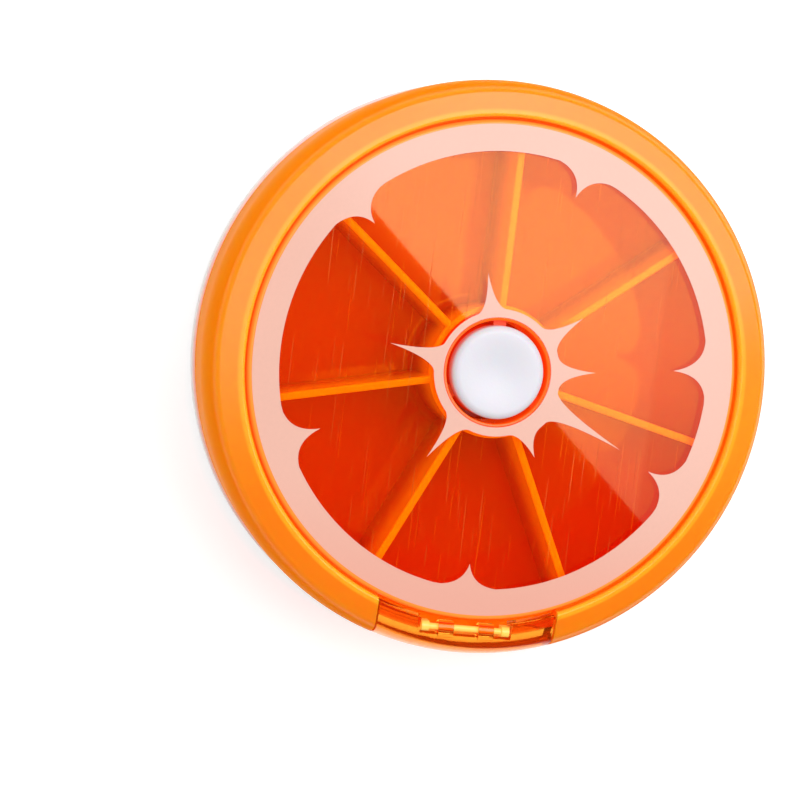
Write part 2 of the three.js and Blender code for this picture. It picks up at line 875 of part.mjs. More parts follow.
// Coil spring between the washer and the cap, as one tube along a helix
class Helix extends THREE.Curve {
  constructor(radius, from, to, turns) {
    super();
    this.radius = radius;
    this.from = from;
    this.to = to;
    this.turns = turns;
  }

  getPoint(share, target = new THREE.Vector3()) {
    const [x, y] = polar(this.radius, share * this.turns * 2 * Math.PI);
    return target.set(x, y, THREE.MathUtils.lerp(this.from, this.to, share));
  }
}

function buttonSpring() {
  const foot = springFoot + springWire / 2;
  const path = new Helix(springRadius, foot, springTop - springWire / 2, springTurns);
  const section = new THREE.Shape();
  section.absarc(0, 0, springWire / 2, 0, 2 * Math.PI, false);
  const geometry = new THREE.ExtrudeGeometry(section, {
    steps: springTurns * springStepsPerTurn,
    curveSegments: springSides,
    bevelEnabled: false,
    extrudePath: path,
  });
  return solidOf(geometry);
}

function springWasher() {
  return ring(washerBoreRadius, washerOuterRadius, washerFoot, washerTop, smallSides);
}

// Colours and finishes
const shellPlastic = { color: 0xf88c24, roughness: 0.22, metalness: 0 };
const lensPlastic = { color: 0xf04408, roughness: 0.1, metalness: 0, transparent: true, opacity: 0.5 };
const doorPlastic = { color: 0xf46a10, roughness: 0.1, metalness: 0, transparent: true, opacity: 0.6 };
const wheelPlastic = { color: 0xee5a0c, roughness: 0.3, metalness: 0 };
const paleInk = { color: 0xfcc8b4, roughness: 0.5, metalness: 0 };
const whitePlastic = { color: 0xeceaf0, roughness: 0.4, metalness: 0 };
const innerPlastic = { color: 0xdcdcdc, roughness: 0.5, metalness: 0 };
const springSteel = { color: 0xb8bcc0, roughness: 0.3, metalness: 1 };

const pieces = [
  ['back_cover', backCover(), whitePlastic],
  ['front_shell', frontShell(), shellPlastic],
  ['lens', lens(), lensPlastic],
  ['rind_print', rindPrint(), paleInk],
  ['star_print', starPrint(), paleInk],
  ['outlet_door', outletDoor(), doorPlastic],
  ['pill_wheel', pillWheel(), wheelPlastic],
  ['index_spring', indexSpring(), springSteel],
  ['drive_collar', driveCollar(), innerPlastic],
  ['pawl_spring', pawlSpring(), springSteel],
  ['spring_washer', springWasher(), springSteel],
  ['button_spring', buttonSpring(), springSteel],
  ['plunger', plunger(), innerPlastic],
  ['button_cap', buttonCap(), whitePlastic],
];

const pillBox = new THREE.Group();
for (const [name, solid, finish] of pieces) {
  const mesh = new THREE.Mesh(geometryOf(solid), new THREE.MeshStandardMaterial(finish));
  mesh.name = name;
  pillBox.add(mesh);
}

export default pillBox;
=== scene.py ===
"""Round pill box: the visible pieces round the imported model, their finishes and a small studio."""

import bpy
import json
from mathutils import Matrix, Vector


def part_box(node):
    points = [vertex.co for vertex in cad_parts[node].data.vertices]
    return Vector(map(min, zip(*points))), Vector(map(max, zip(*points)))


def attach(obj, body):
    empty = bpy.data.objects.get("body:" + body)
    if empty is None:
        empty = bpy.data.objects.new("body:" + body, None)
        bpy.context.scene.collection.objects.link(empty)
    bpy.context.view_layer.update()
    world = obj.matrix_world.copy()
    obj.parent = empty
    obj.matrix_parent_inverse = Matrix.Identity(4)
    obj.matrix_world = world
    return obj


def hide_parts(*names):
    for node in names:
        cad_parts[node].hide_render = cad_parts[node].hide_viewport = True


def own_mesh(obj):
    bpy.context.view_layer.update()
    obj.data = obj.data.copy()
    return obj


bl_info = {
    "name": "Round Pill Box",
    "version": (1, 0, 0),
    "blender": (4, 5, 0),
    "location": "View3D > Sidebar > Pill Box",
    "description": "Makes the pieces and finishes of a round push-button pill box and its studio",
    "category": "Object",
}

import json
import math

import bmesh
import bpy
from bpy.props import FloatProperty, FloatVectorProperty, PointerProperty
from mathutils import Matrix, Vector

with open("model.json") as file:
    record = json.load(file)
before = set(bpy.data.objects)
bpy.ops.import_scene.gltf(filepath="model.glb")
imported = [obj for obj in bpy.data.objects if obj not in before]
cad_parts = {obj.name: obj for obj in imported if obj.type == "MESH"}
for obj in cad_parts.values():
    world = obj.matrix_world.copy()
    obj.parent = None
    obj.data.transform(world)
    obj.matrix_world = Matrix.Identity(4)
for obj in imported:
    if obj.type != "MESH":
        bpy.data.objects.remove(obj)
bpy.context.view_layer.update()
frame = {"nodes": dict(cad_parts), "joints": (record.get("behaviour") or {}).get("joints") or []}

# Places that come from the frame, in metres
SHELL_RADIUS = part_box("front_shell")[1].y
SHELL_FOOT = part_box("front_shell")[0].z
CROWN_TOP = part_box("front_shell")[1].z
LENS_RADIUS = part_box("lens")[1].y
LENS_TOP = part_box("lens")[1].z
GUIDE_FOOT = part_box("lens")[0].z
INK_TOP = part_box("rind_print")[1].z
RIND_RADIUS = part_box("rind_print")[1].y
DOOR_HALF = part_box("outlet_door")[1].x
COVER_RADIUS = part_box("back_cover")[1].y
BUTTON_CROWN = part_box("button_cap")[1].z
SKIRT_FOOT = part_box("button_cap")[0].z
HUB_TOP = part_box("pill_wheel")[1].z
HINGE = Vector(next(j["pos_m"] for j in frame["joints"] if j["name"] == "door_swing"))

# What the groups of sizes and colours are called on the scene
PREFIX = "pill_box_"

# Counts and angles
FULL_TURN = 2 * math.pi
QUARTER = math.pi / 2
ROUND_STEPS = 240
SMALL_STEPS = 96
ARC_STEPS = 16
BEVEL_STEPS = 6
FINE_STEPS = 4
EDGE_SEGMENTS = 3
COMPARTMENTS = 7
KEYS = 3
SNAPS = 4
TEETH = 2 * COMPARTMENTS
COIL_TURNS = 6
WIRE_SIDES = 10
HINGE_SIDES = 40
DOOR_ANGLE = -QUARTER
SHARP = math.radians(32)
MERGE_DISTANCE = 1e-7
LENS_KEY_ANGLE = math.radians(-160.4)

# Where finishes, painted highlights and painted shade change over a surface, in metres, and by how
# much where that isn't in full
BAND_BLEND = 0.0012
LIP_HIGHLIGHT_BLEND = (0.0008, 0.0003)
LIP_HIGHLIGHT_DEPTH = 0.0004
OUTLET_SHADE_BLEND, OUTLET_SHADE_SHARE = (-0.004, -0.03), 0.5
EDGE_SHADE_BLEND = 0.0015
FLAP_BLEND = (0.001, 0.005)
INK_SHADE_BLEND, INK_SHADE_SHARE = (-0.015, -0.04), 0.6
KEY_SHADE_BLEND = 0.0002

# Noise scales, from broad clouds to a fine grain
INK_CLOUDS = 45.0
HAZE_CLOUDS = 60.0
WHEEL_CLOUDS = 70.0
SHELL_CLOUDS = 90.0
WHITE_CLOUDS = 120.0
RIPPLE = 140.0
INNER_CLOUDS = 200.0
BAR_CLOUDS = 400.0
LINES = 900.0
GRAIN = 1800.0
TEXTURE = 2400.0

# Hairline scratches: their scale, direction and thinness, and the noise levels that they take up
SCRATCHES = 4000.0
SCRATCH_TURN = 0.9
SCRATCH_DRAW = 0.02
SCRATCH_LEVELS = (0.72, 0.8)
SCRATCH_ROUGHNESS = 0.12
SCRATCH_HAZE = 0.15

# Haze in the flap: all over, towards its foot, and in clouds there
FLAP_HAZE, FLAP_HAZE_LOW, FLAP_HAZE_CLOUDS = 0.04, 0.1, 0.2

# Plastics
PLASTIC_IOR = 1.49
POLISHED = 0.8
MATT_WALL = 0.002
# Strength of the painted glow on the window's edges and the hole's lining
EDGE_GLOW = 0.25

# Six rind notches: direction as a share of a turn, depth as a share of the flesh radius
RIND_NOTCH_SHARES = (
    (0.0186, 0.837),
    (0.2014, 0.870),
    (0.3806, 0.880),
    (0.5650, 0.850),
    (0.7467, 0.886),
    (0.9272, 0.861),
)
# Half width of a notch and of a point at its root, and how closely its sides lead to the tip
NOTCH_SPREAD, NOTCH_LEAN = 0.022 * FULL_TURN, 0.0035 * FULL_TURN
NOTCH_BEND = 0.985
POINT_SPREAD, POINT_LEAN = 0.04 * FULL_TURN, 0.01 * FULL_TURN
# Seven star points: direction as a share of a turn, tip as a share of the flesh radius, and the
# web that follows as a share of the web radius
STAR_POINT_SHARES = (
    (0.0164, 0.463, 0.96),
    (0.1058, 0.467, 0.95),
    (0.2856, 0.4536, 0.92),
    (0.4756, 0.5166, 0.97),
    (0.6558, 0.500, 0.96),
    (0.8364, 0.4308, 1.07),
    (0.9300, 0.690, 0.98),
)


def length(label, words, value):
    return FloatProperty(name=label, description=words, default=value, unit="LENGTH", precision=5)


def number(label, words, value, unit="NONE"):
    return FloatProperty(name=label, description=words, default=value, unit=unit, precision=4)


def vector(label, words, value, unit="NONE"):
    return FloatVectorProperty(
        name=label, description=words, default=value, size=len(value), unit=unit, precision=4
    )


def colour(label, words, value):
    return FloatVectorProperty(
        name=label, description=words, default=value, subtype="COLOR", size=3
    )


class ShellSizes(bpy.types.PropertyGroup):
    wall: length("Wall", "Thickness of the side wall", 0.0018)
    band_width: length("Band width", "Width of the nearly flat band round the recess", 0.0034)
    band_fall: length("Band fall", "How far the band falls towards its outer edge", 0.0006)
    wall_rise: length("Wall rise", "Height of the upright wall above the shell's foot", 0.0104)
    lip_width: length("Lip width", "Rounding from the crown's top in to the lens recess", 0.0005)
    lip_rise: length("Lip rise", "Upright part of the recess wall", 0.0021)
    seat_width: length("Seat width", "Ledge under the lens edge", 0.0018)
    seat_thickness: length("Seat thickness", "Thickness of that ledge", 0.0014)
    outlet_ledge: length("Outlet ledge", "Reach of the ledge past the lens in the outlet", 0.0006)
    ledge_step: length("Ledge step", "How much thinner it is than the seat, on each side", 0.00002)
    gap: length("Gap", "Parting gap round the lens and the door", 0.0003)
    recess_step: length("Recess step", "How far the recess closes in on the window", 0.00024)
    recess_drop: length("Recess drop", "From the window's top down to that step", 0.0009)
    foot_round: length("Foot round", "Rounding of the lower edge", 0.0003)
    bar_radius: length("Bar radius", "Radius of the hinge bar", 0.0005)
    lug_radius: length("Lug radius", "Half depth of a hinge lug", 0.0008)
    lug_width: length("Lug width", "Width of a hinge lug", 0.0012)
    lug_place: length("Lug place", "From the middle of the bar to a lug", 0.0064)


class LensSizes(bpy.types.PropertyGroup):
    thickness: length("Thickness", "Thickness of the window", 0.002)
    bevel_width: length("Bevel width", "Bevel of the window's rim, across", 0.0007)
    bevel_height: length("Bevel height", "Bevel of the window's rim, down", 0.0012)
    hole_radius: length("Hole radius", "Radius of the button hole", 0.008)
    guide_wall: length("Guide wall", "Wall of the button's guide tube", 0.0012)
    edge_round: length("Edge round", "Rounding of the hole's edge", 0.00018)
    slot_width: length("Slot width", "Width of a guide slot", 0.0026)
    key_width: length("Key width", "Width of the locating key", 0.0014)
    key_reach: length("Key reach", "How far the key stands out", 0.0006)
    lining: length("Lining", "Wall of the button hole's edge", 0.0004)


class PrintSizes(bpy.types.PropertyGroup):
    rind_width: length("Rind width", "Width of the pale ring", 0.0041)
    hole_radius: length("Hole radius", "Radius of the hole in the star", 0.0085)
    web_radius: length("Web radius", "Radius of the star between its points", 0.0103)


class DoorSizes(bpy.types.PropertyGroup):
    thickness: length("Thickness", "Thickness of the flap", 0.0016)
    top_gap: length("Top gap", "From the lens rim to the flap's upper edge", 0.0008)
    hook_radius: length("Hook radius", "Outer radius of a hinge hook", 0.0012)
    hook_width: length("Hook width", "Width of a hinge hook", 0.0024)
    hook_place: length("Hook place", "From the middle of the bar to a hook", 0.0032)
    hook_mouth: length("Hook mouth", "Opening of a hinge hook", 0.0008)
    web_drop: length("Web drop", "How far a hook's web reaches under the bar's middle", 0.0004)
    groove_radius: length("Groove radius", "Radius of the nail groove's section", 0.0007)
    groove_half: length("Groove half", "Half length of the nail groove", 0.006)
    groove_rise: length("Groove rise", "Nail groove above the flap's foot", 0.0022)


class CoverSizes(bpy.types.PropertyGroup):
    rim: length("Rim", "Height of the white rim", 0.0063)
    floor: length("Floor", "Thickness of the floor", 0.002)
    edge_round: length("Edge round", "Rounding of the lower edge", 0.0035)
    rim_round: length("Rim round", "Rounding of the upper edge", 0.0003)
    spigot_wall: length("Spigot wall", "Wall of the spigot in the shell", 0.0015)
    spigot_height: length("Spigot height", "Height of the spigot above the rim", 0.0033)
    sill_half: length("Sill half", "Half width of the outlet's sill", 0.012)
    sill_height: length("Sill height", "Height of the outlet's sill", 0.0072)
    boss_bore: length("Boss bore", "Bore of the collar's boss", 0.0049)
    boss_wall: length("Boss wall", "Wall of that boss", 0.0035)
    boss_height: length("Boss height", "Height of that boss above the floor", 0.0053)
    rib_radius: length("Rib radius", "Outer radius of the rib that carries the wheel", 0.0253)
    rib_wall: length("Rib wall", "Wall of that rib", 0.0012)
    rib_top: length("Rib top", "Top of that rib", 0.006)
    snap_reach: length("Snap reach", "How far a snap bead stands out", 0.0006)
    snap_height: length("Snap height", "Height of a snap bead", 0.001)
    snap_drop: length("Snap drop", "From the spigot's top down to a bead", 0.0004)
    snap_width: length("Snap width", "Width of a snap bead", 0.009)
    post_near: length("Post near", "Inner posts' face at the index spring", 0.0167)
    post_far: length("Post far", "Outer posts' face at the index spring", 0.0177)
    post_end: length("Post end", "Outer end of a post", 0.0139)
    post_length: length("Post length", "Length of a post", 0.0024)
    post_depth: length("Post depth", "Depth of a post", 0.0014)
    post_top: length("Post top", "Top of a post", 0.0045)


class ButtonSizes(bpy.types.PropertyGroup):
    radius: length("Radius", "Radius of the push cap", 0.0072)
    edge_round: length("Edge round", "Rounding of the cap's edge", 0.0011)
    dish: length("Dish", "Depth of the dish", 0.0006)
    top: length("Top", "Thickness under the dish", 0.0014)
    skirt_wall: length("Skirt wall", "Wall of the skirt", 0.0012)
    key_width: length("Key width", "Width of a guide key", 0.002)
    key_height: length("Key height", "Height of a guide key", 0.0035)
    key_reach: length("Key reach", "Outer end of a key from the axis", 0.0089)
    socket_bore: length("Socket bore", "Bore of the plunger's socket", 0.0018)
    socket_wall: length("Socket wall", "Wall of that socket", 0.0011)
    socket_depth: length("Socket depth", "Depth of that socket", 0.003)
    coil_radius: length("Coil radius", "Middle radius of the return spring", 0.0045)
    coil_wire: length("Coil wire", "Radius of the spring's wire", 0.0003)
    coil_foot: length("Coil foot", "Foot of the spring", 0.0132)
    coil_top: length("Coil top", "Top of the spring", 0.0232)
    coil_keep: number("Coil keep", "Share of its length that the pressed spring keeps", 0.68)


class WheelSizes(bpy.types.PropertyGroup):
    under: length("Under", "Height of the underside of the floor", 0.0063)
    floor: length("Floor", "Thickness of the floor", 0.0012)
    radius: length("Radius", "Radius of the floor", 0.0409)
    bore: length("Bore", "Bore round the boss", 0.0087)
    hub_inner: length("Hub inner", "Inner radius of the hub", 0.0095)
    hub_outer: length("Hub outer", "Outer radius of the hub", 0.0104)
    fillet: length("Fillet", "Fillet between hub and floor", 0.0014)
    divider: length("Divider", "Thickness of a divider", 0.0012)
    divider_radius: length("Divider radius", "Outer end of a divider above the spigot", 0.0427)
    divider_top: length("Divider top", "Top of a divider under the seat", 0.0203)
    step_radius: length("Step radius", "Where a divider steps up inside the seat", 0.0364)
    chamfer: length("Chamfer", "Slope of the divider's outer end", 0.0014)
    soft_edge: length("Soft edge", "Rounding of the divider's edges", 0.0003)
    bearing_top: length("Bearing top", "Top of the bearing round the boss", 0.008)
    tooth_tip: length("Tooth tip", "Radius at the ratchet teeth's tips", 0.0076)
    tooth_root: length("Tooth root", "Radius between the teeth", 0.0088)
    tooth_foot: length("Tooth foot", "Foot of the ratchet", 0.0082)
    tooth_top: length("Tooth top", "Top of the ratchet", 0.0106)
    index_radius: length("Index radius", "Radius of the index ring", 0.0165)
    index_wall: length("Index wall", "Wall of the index ring", 0.0035)
    index_foot: length("Index foot", "Foot of the index ring", 0.0036)
    notch_depth: length("Notch depth", "Depth of an index notch", 0.0013)
    notch_half: length("Notch half", "Half width of an index notch", 0.0017)


class Finishes(bpy.types.PropertyGroup):
    shell: colour("Shell", "Milky tangerine plastic", (1.0, 0.2, 0.002))
    # Painted highlight on the shell's band, and the colour of the shell's paler clouds
    shell_tone_and_highlight: colour("Shell edge", "Light-filled band of the shell", (1.0, 0.32, 0.01))
    # Painted highlight on the lip round the window
    shell_lip_highlight: colour("Shell lip", "Lip of the shell round the window", (1.0, 0.46, 0.02))
    # Painted shade on the shell towards the outlet
    shell_painted_shade: colour("Shell low", "Deeper plastic towards the outlet", (1.0, 0.16, 0.004))
    # Bright colour of the hinge bar, which with its emission is a painted glow
    bar: colour("Hinge bar", "Hinge bar, filled with light", (1.0, 0.62, 0.08))
    window: colour("Window", "Clear tangerine plastic", (0.97, 0.50, 0.035))
    window_gloss: colour("Window gloss", "Tint of the window's reflections", (1.0, 1.0, 0.6))
    # Colour of the window's rim, which takes a painted glow; also the tint of haze and of lamp light
    # let through
    edge_bright: colour("Window edge", "Edges of the window", (1.0, 0.3, 0.04))
    # Colour of the hole's lining, which takes a painted glow
    lining: colour("Lining", "Edge of the button hole", (1.0, 0.13, 0.005))
    # Painted shade on the window's edges further down
    edge_painted_shade: colour("Deep edge", "Window edges further down", (1.0, 0.085, 0.003))
    flap: colour("Flap", "Clear amber plastic", (1.0, 0.38, 0.03))
    flap_haze: colour("Flap haze", "Haze in the amber plastic", (1.0, 0.24, 0.01))
    # Painted shade on the compartment floors
    wheel_floor_shade: colour("Wheel floor", "Floor of the compartments", (0.52, 0.026, 0.001))
    # Painted highlight on the dividers' upper edges, and the colour of the wheel's paler clouds
    wheel_tone_and_highlight: colour("Wheel edges", "Upper edges of the dividers", (1.0, 0.56, 0.02))
    ink: colour("Ink", "Pale pink ink", (0.97, 0.56, 0.45))
    # Painted shade on the ink towards the outlet
    ink_painted_shade: colour("Ink low", "Deeper ink over the dark compartments", (0.92, 0.4, 0.3))
    white: colour("White", "White plastic of the button", (0.82, 0.80, 0.86))
    # Painted shade, tinted orange, on the cap's deep part under the window
    key_painted_shade: colour("Key tint", "Deep part of the cap, in tinted light", (0.85, 0.16, 0.02))
    cover_white: colour("Cover white", "White plastic of the back half", (0.86, 0.83, 0.80))
    steel: colour("Steel", "Spring steel", (0.62, 0.63, 0.65))
    inner: colour("Inner", "Pale inner plastic", (0.74, 0.73, 0.71))


class StudioSettings(bpy.types.PropertyGroup):
    camera_place: vector(
        "Camera place", "Where the camera stands", (-0.07182, 0.0139, 0.3074), "LENGTH"
    )
    camera_forward: vector("Camera forward", "The way that it looks", (0.1974, -0.0681, -0.978))
    camera_up: vector("Camera up", "What is up in the picture", (-0.1046, 0.9904, -0.0901))
    camera_lens: number("Camera lens", "Focal length on a frame of 36 mm", 85.5)
    key_width: length("Key width", "Width of the softbox", 0.9)
    key_depth: length("Key depth", "Depth of the softbox", 0.7)
    key_place: vector("Key place", "Middle of the softbox", (0.3899, 0.2866, 0.9), "LENGTH")
    key_turn: number("Key turn", "Turn of the softbox", -0.729, "ROTATION")
    key_power: number("Key power", "Watts of the softbox", 6.4)
    scrim_size: length("Scrim size", "Side of the grey scrim under the softbox", 2.4)
    scrim_place: vector(
        "Scrim place", "Where the scrim grows denser across", (0.32, 0.0, 0.89), "LENGTH"
    )
    scrim_start: length("Scrim start", "Depth where the scrim starts to grow denser", 0.0375)
    scrim_fall: length("Scrim fall", "Depth where it is at its densest, on the other side", 0.15)
    scrim_step: length("Scrim step", "Width of the scrim's step across", 0.004)
    scrim_step_share: number("Scrim step share", "Share of the scrim's density in that step", 0.2)
    scrim: colour("Scrim", "What the scrim's densest part lets through", (0.3, 0.3, 0.3))
    fill_size: length("Fill size", "Side of the fill panel", 0.6)
    fill_place: vector("Fill place", "Middle of the fill panel", (-0.36, 0.12, 0.9), "LENGTH")
    fill_power: number("Fill power", "Watts of the fill panel", 1.8)
    sky: number("Sky", "Level of the plain light from all round", 0.66)
    sky_low: number("Sky low", "Level of the sky near the floor in gloss", 0.35)
    sky_high: number("Sky high", "Level of the sky overhead in gloss", 0.04)
    sky_edge: vector("Sky edge", "Slopes between which the sky in gloss grows dark", (0.02, 0.25))
    floor_size: length("Floor size", "Side of the floor", 6.0)
    floor_drop: length("Floor drop", "How far the floor lies under the box", 0.0001)
    floor_colour: colour("Floor colour", "Pale floor", (0.84, 0.84, 0.84))
    floor_lift: number("Floor lift", "What lifts the floor to white in the picture", 0.4)


# Shader maths
class Value:
    """A node's output in an expression: Math nodes join it to numbers and to other values."""

    def __init__(self, graph, socket):
        self.graph = graph
        self.socket = socket

    def math(self, operation, first, second):
        return self.graph.add("ShaderNodeMath", {"operation": operation}, {0: first, 1: second})

    def __add__(self, other):
        return self.math("ADD", self, other)

    def __radd__(self, other):
        return self.math("ADD", other, self)

    def __sub__(self, other):
        return self.math("SUBTRACT", self, other)

    def __rsub__(self, other):
        return self.math("SUBTRACT", other, self)

    def __mul__(self, other):
        return self.math("MULTIPLY", self, other)

    def __rmul__(self, other):
        return self.math("MULTIPLY", other, self)


class Graph:
    """The node tree of one material, light or world."""

    def __init__(self, owner):
        owner.use_nodes = True
        self.tree = owner.node_tree
        self.tree.nodes.clear()

    def add(self, kind, settings=None, inputs=None, output=0):
        node = self.tree.nodes.new(kind)
        for name, value in (settings or {}).items():
            setattr(node, name, value)
        for name, value in (inputs or {}).items():
            if isinstance(value, Value):
                self.tree.links.new(value.socket, node.inputs[name])
            else:
                node.inputs[name].default_value = value
        return Value(self, node.outputs[output]) if node.outputs else node

    def mix(self, share, low, high):
        """A colour between two others, as a share of the way from low to high."""
        return self.add(
            "ShaderNodeMix",
            {"data_type": "RGBA"},
            {0: share, 6: opaque(low), 7: opaque(high)},
            output=2,
        )

    def clouded(self, base, other, scale, share):
        """The base with another colour in it, in soft clouds."""
        return self.mix(self.noise(scale) * share, base, other)

    def blend(self, share, first, second):
        """A shader between two others, as a share of the way from first to second."""
        return self.add("ShaderNodeMixShader", inputs={0: share, 1: first, 2: second})

    def place(self):
        return self.add("ShaderNodeTexCoord", output=3)

    def radius(self):
        """Distance from the box's axis."""
        kind = "ShaderNodeVectorMath"
        flat = self.add(kind, {"operation": "MULTIPLY"}, {0: self.place(), 1: (1, 1, 0)})
        return self.add(kind, {"operation": "LENGTH"}, {0: flat}, output=1)

    def axes(self, vector=None):
        """X, Y and Z of a vector, or of the place on the object, as three values."""
        split = self.add("ShaderNodeSeparateXYZ", inputs={0: vector or self.place()})
        return [Value(self, socket) for socket in split.socket.node.outputs]

    def noise(self, scale, detail=2.0, vector=None):
        return self.add(
            "ShaderNodeTexNoise",
            inputs={"Vector": vector or self.place(), "Scale": scale, "Detail": detail},
        )

    def between(self, value, low, high):
        """0 below low, 1 above high, and smooth between them."""
        return self.add(
            "ShaderNodeMapRange",
            {"interpolation_type": "SMOOTHSTEP"},
            {0: value, 1: low, 2: high},
        )

    def ray(self, *kinds):
        """1 for rays of any of the kinds named, and 0 for others."""
        outputs = self.add("ShaderNodeLightPath").socket.node.outputs
        first, *others = (Value(self, outputs[f"Is {kind} Ray"]) for kind in kinds)
        for other in others:
            first = first.math("MAXIMUM", first, other)
        return first

    def bump(self, height, distance):
        return self.add("ShaderNodeBump", inputs={"Distance": distance, "Height": height})

    def finish(self, shader, kind="ShaderNodeOutputMaterial"):
        self.add(kind, inputs={0: shader})


def opaque(value):
    """What a colour socket takes: a value as it is, and a colour with full alpha."""
    return value if isinstance(value, Value) else (*value, 1.0)


def dimmed(plain, share):
    """A darker shade of a colour."""
    return tuple(channel * share for channel in plain)


def paler(plain):
    """The colour that gives the plain one when it is passed twice."""
    return tuple(math.sqrt(channel) for channel in plain)


def plastic(graph, base, roughness, sockets=None, bump=None):
    """A Principled shader with what most of the plastics share."""
    inputs = {"Base Color": opaque(base), "Roughness": roughness, "IOR": PLASTIC_IOR}
    inputs.update(sockets or {})
    if bump is not None:
        inputs["Normal"] = bump
    return graph.add("ShaderNodeBsdfPrincipled", inputs=inputs)


def group(name):
    """One of the groups of sizes and colours in the panel."""
    return getattr(bpy.context.scene, PREFIX + name)


def material(name):
    made = bpy.data.materials.new(name)
    return made, Graph(made)


def shell_plastic():
    """Milky tangerine plastic, with a painted highlight on the band and the lip, painted shade
    towards the outlet and a faint painted glow.
    """
    made, graph = material("milky_tangerine")
    colours = group("finishes")
    _, depth, height = graph.axes()
    # The band takes a real coat, and a painted highlight in its colour
    band = graph.between(height, band_edge() - BAND_BLEND, band_edge())
    base = graph.mix(band, colours.shell, colours.shell_tone_and_highlight)
    # Painted shade towards the outlet
    base = graph.mix(graph.between(depth, *OUTLET_SHADE_BLEND) * OUTLET_SHADE_SHARE, base, colours.shell_painted_shade)
    # Paler clouds in the plastic
    base = graph.clouded(base, colours.shell_tone_and_highlight, SHELL_CLOUDS, share=0.12)
    # Painted highlight on the lip round the window
    inward = graph.between(graph.radius(), *(crown_radius() + reach for reach in LIP_HIGHLIGHT_BLEND))
    lip = inward * graph.between(height, LENS_TOP - LIP_HIGHLIGHT_DEPTH, LENS_TOP)
    base = graph.mix(lip, base, colours.shell_lip_highlight)
    ripple = graph.bump(graph.noise(SHELL_CLOUDS), distance=0.00001)
    sockets = {
        "Specular IOR Level": MATT_WALL,
        "Coat Weight": band,
        "Coat Roughness": 0.2,
        "Subsurface Weight": 1.0,
        "Subsurface Radius": (1.0, 0.35, 0.06),
        "Subsurface Scale": 0.002,
        # A faint painted glow
        "Emission Color": opaque(colours.shell),
        "Emission Strength": 0.1,
    }
    shader = plastic(graph, base, roughness=0.3, sockets=sockets, bump=ripple)
    lit_through(graph, shader, colours.edge_bright)
    return made


def clear(graph, tint, roughness, haze, haze_share, sockets=None, bump=None):
    """Tinted clear plastic with some haze, which lets lamp light through to what is behind it."""
    glass = plastic(graph, tint, roughness, {"Transmission Weight": 1.0, **(sockets or {})}, bump)
    milky = plastic(graph, haze, roughness, bump=bump)
    lit_through(graph, graph.blend(haze_share, glass, milky), paler(tint))


def lit_through(graph, shader, tint):
    """The finish of a shader, with tinted lamp light let through it to what is behind."""
    passed = graph.add("ShaderNodeBsdfTransparent", inputs={0: opaque(tint)})
    graph.finish(graph.blend(graph.ray("Shadow"), shader, passed))


def window_plastic():
    """Clear tangerine plastic: a tint with a polished face and a few hairline scratches."""
    made, graph = material("clear_tangerine")
    colours = group("finishes")
    streaked = graph.add(
        "ShaderNodeMapping",
        inputs={
            "Vector": graph.place(),
            "Rotation": (0, 0, SCRATCH_TURN),
            "Scale": (1, SCRATCH_DRAW, 1),
        },
    )
    worn = graph.between(graph.noise(SCRATCHES, detail=0.0, vector=streaked), *SCRATCH_LEVELS)
    roughness = 0.02 + worn * SCRATCH_ROUGHNESS
    gloss = {"Specular Tint": opaque(colours.window_gloss), "Specular IOR Level": POLISHED}
    clear(graph, colours.window, roughness, colours.edge_bright, worn * SCRATCH_HAZE, gloss)
    return made


def edge_plastic(name, bright):
    """The window's plastic at its edges, with a painted glow and painted shade further down."""
    made, graph = material(name)
    colours = group("finishes")
    # Painted shade further down the edge
    deep = graph.between(graph.axes()[2], LENS_TOP, LENS_TOP - EDGE_SHADE_BLEND)
    base = graph.mix(deep, bright, colours.edge_painted_shade)
    # A painted glow
    glow = {"Emission Color": base, "Emission Strength": EDGE_GLOW}
    lit_through(graph, plastic(graph, base, roughness=0.12, sockets=glow), colours.edge_bright)
    return made


def bar_plastic():
    """The thin hinge bar, whose bright colour and emission are a painted glow for light shining
    through it.
    """
    made, graph = material("bar_painted_glow")
    bar = group("finishes").bar
    base = graph.clouded(bar, paler(bar), BAR_CLOUDS, share=0.4)
    # A painted glow
    glow = {"Emission Color": base, "Emission Strength": 0.2}
    graph.finish(plastic(graph, base, roughness=0.1, sockets=glow))
    return made


def flap_plastic():
    """Clear amber plastic of the outlet flap."""
    made, graph = material("clear_amber")
    colours = group("finishes")
    ripple = graph.bump(graph.noise(RIPPLE), distance=0.00002)
    low = graph.between(graph.axes()[2], *(HINGE.z - fall for fall in FLAP_BLEND))
    haze = FLAP_HAZE + low * (FLAP_HAZE_LOW + graph.noise(HAZE_CLOUDS) * FLAP_HAZE_CLOUDS)
    clear(graph, colours.flap, 0.03, colours.flap_haze, haze, bump=ripple)
    return made


def wheel_plastic():
    """Tangerine plastic with painted shade on the floor, a painted highlight on the divider edges
    and a faint painted glow.
    """
    made, graph = material("wheel_tangerine_painted_light")
    colours = group("finishes")
    sizes = group("wheel")
    # Painted light by height: shade on the floor, a highlight on the dividers' upper edges
    rise = graph.between(graph.axes()[2], sizes.under + sizes.floor, sizes.divider_top)
    base = graph.mix(rise * rise, colours.wheel_floor_shade, colours.wheel_tone_and_highlight)
    # Paler clouds in the plastic
    base = graph.clouded(base, colours.wheel_tone_and_highlight, WHEEL_CLOUDS, share=0.05)
    sockets = {
        "Specular IOR Level": POLISHED,
        "Subsurface Weight": 0.7,
        "Subsurface Radius": (1.0, 0.12, 0.02),
        "Subsurface Scale": 0.003,
        # A faint painted glow
        "Emission Color": base,
        "Emission Strength": 0.08,
    }
    lit_through(graph, plastic(graph, base, roughness=0.06, sockets=sockets), colours.edge_bright)
    return made


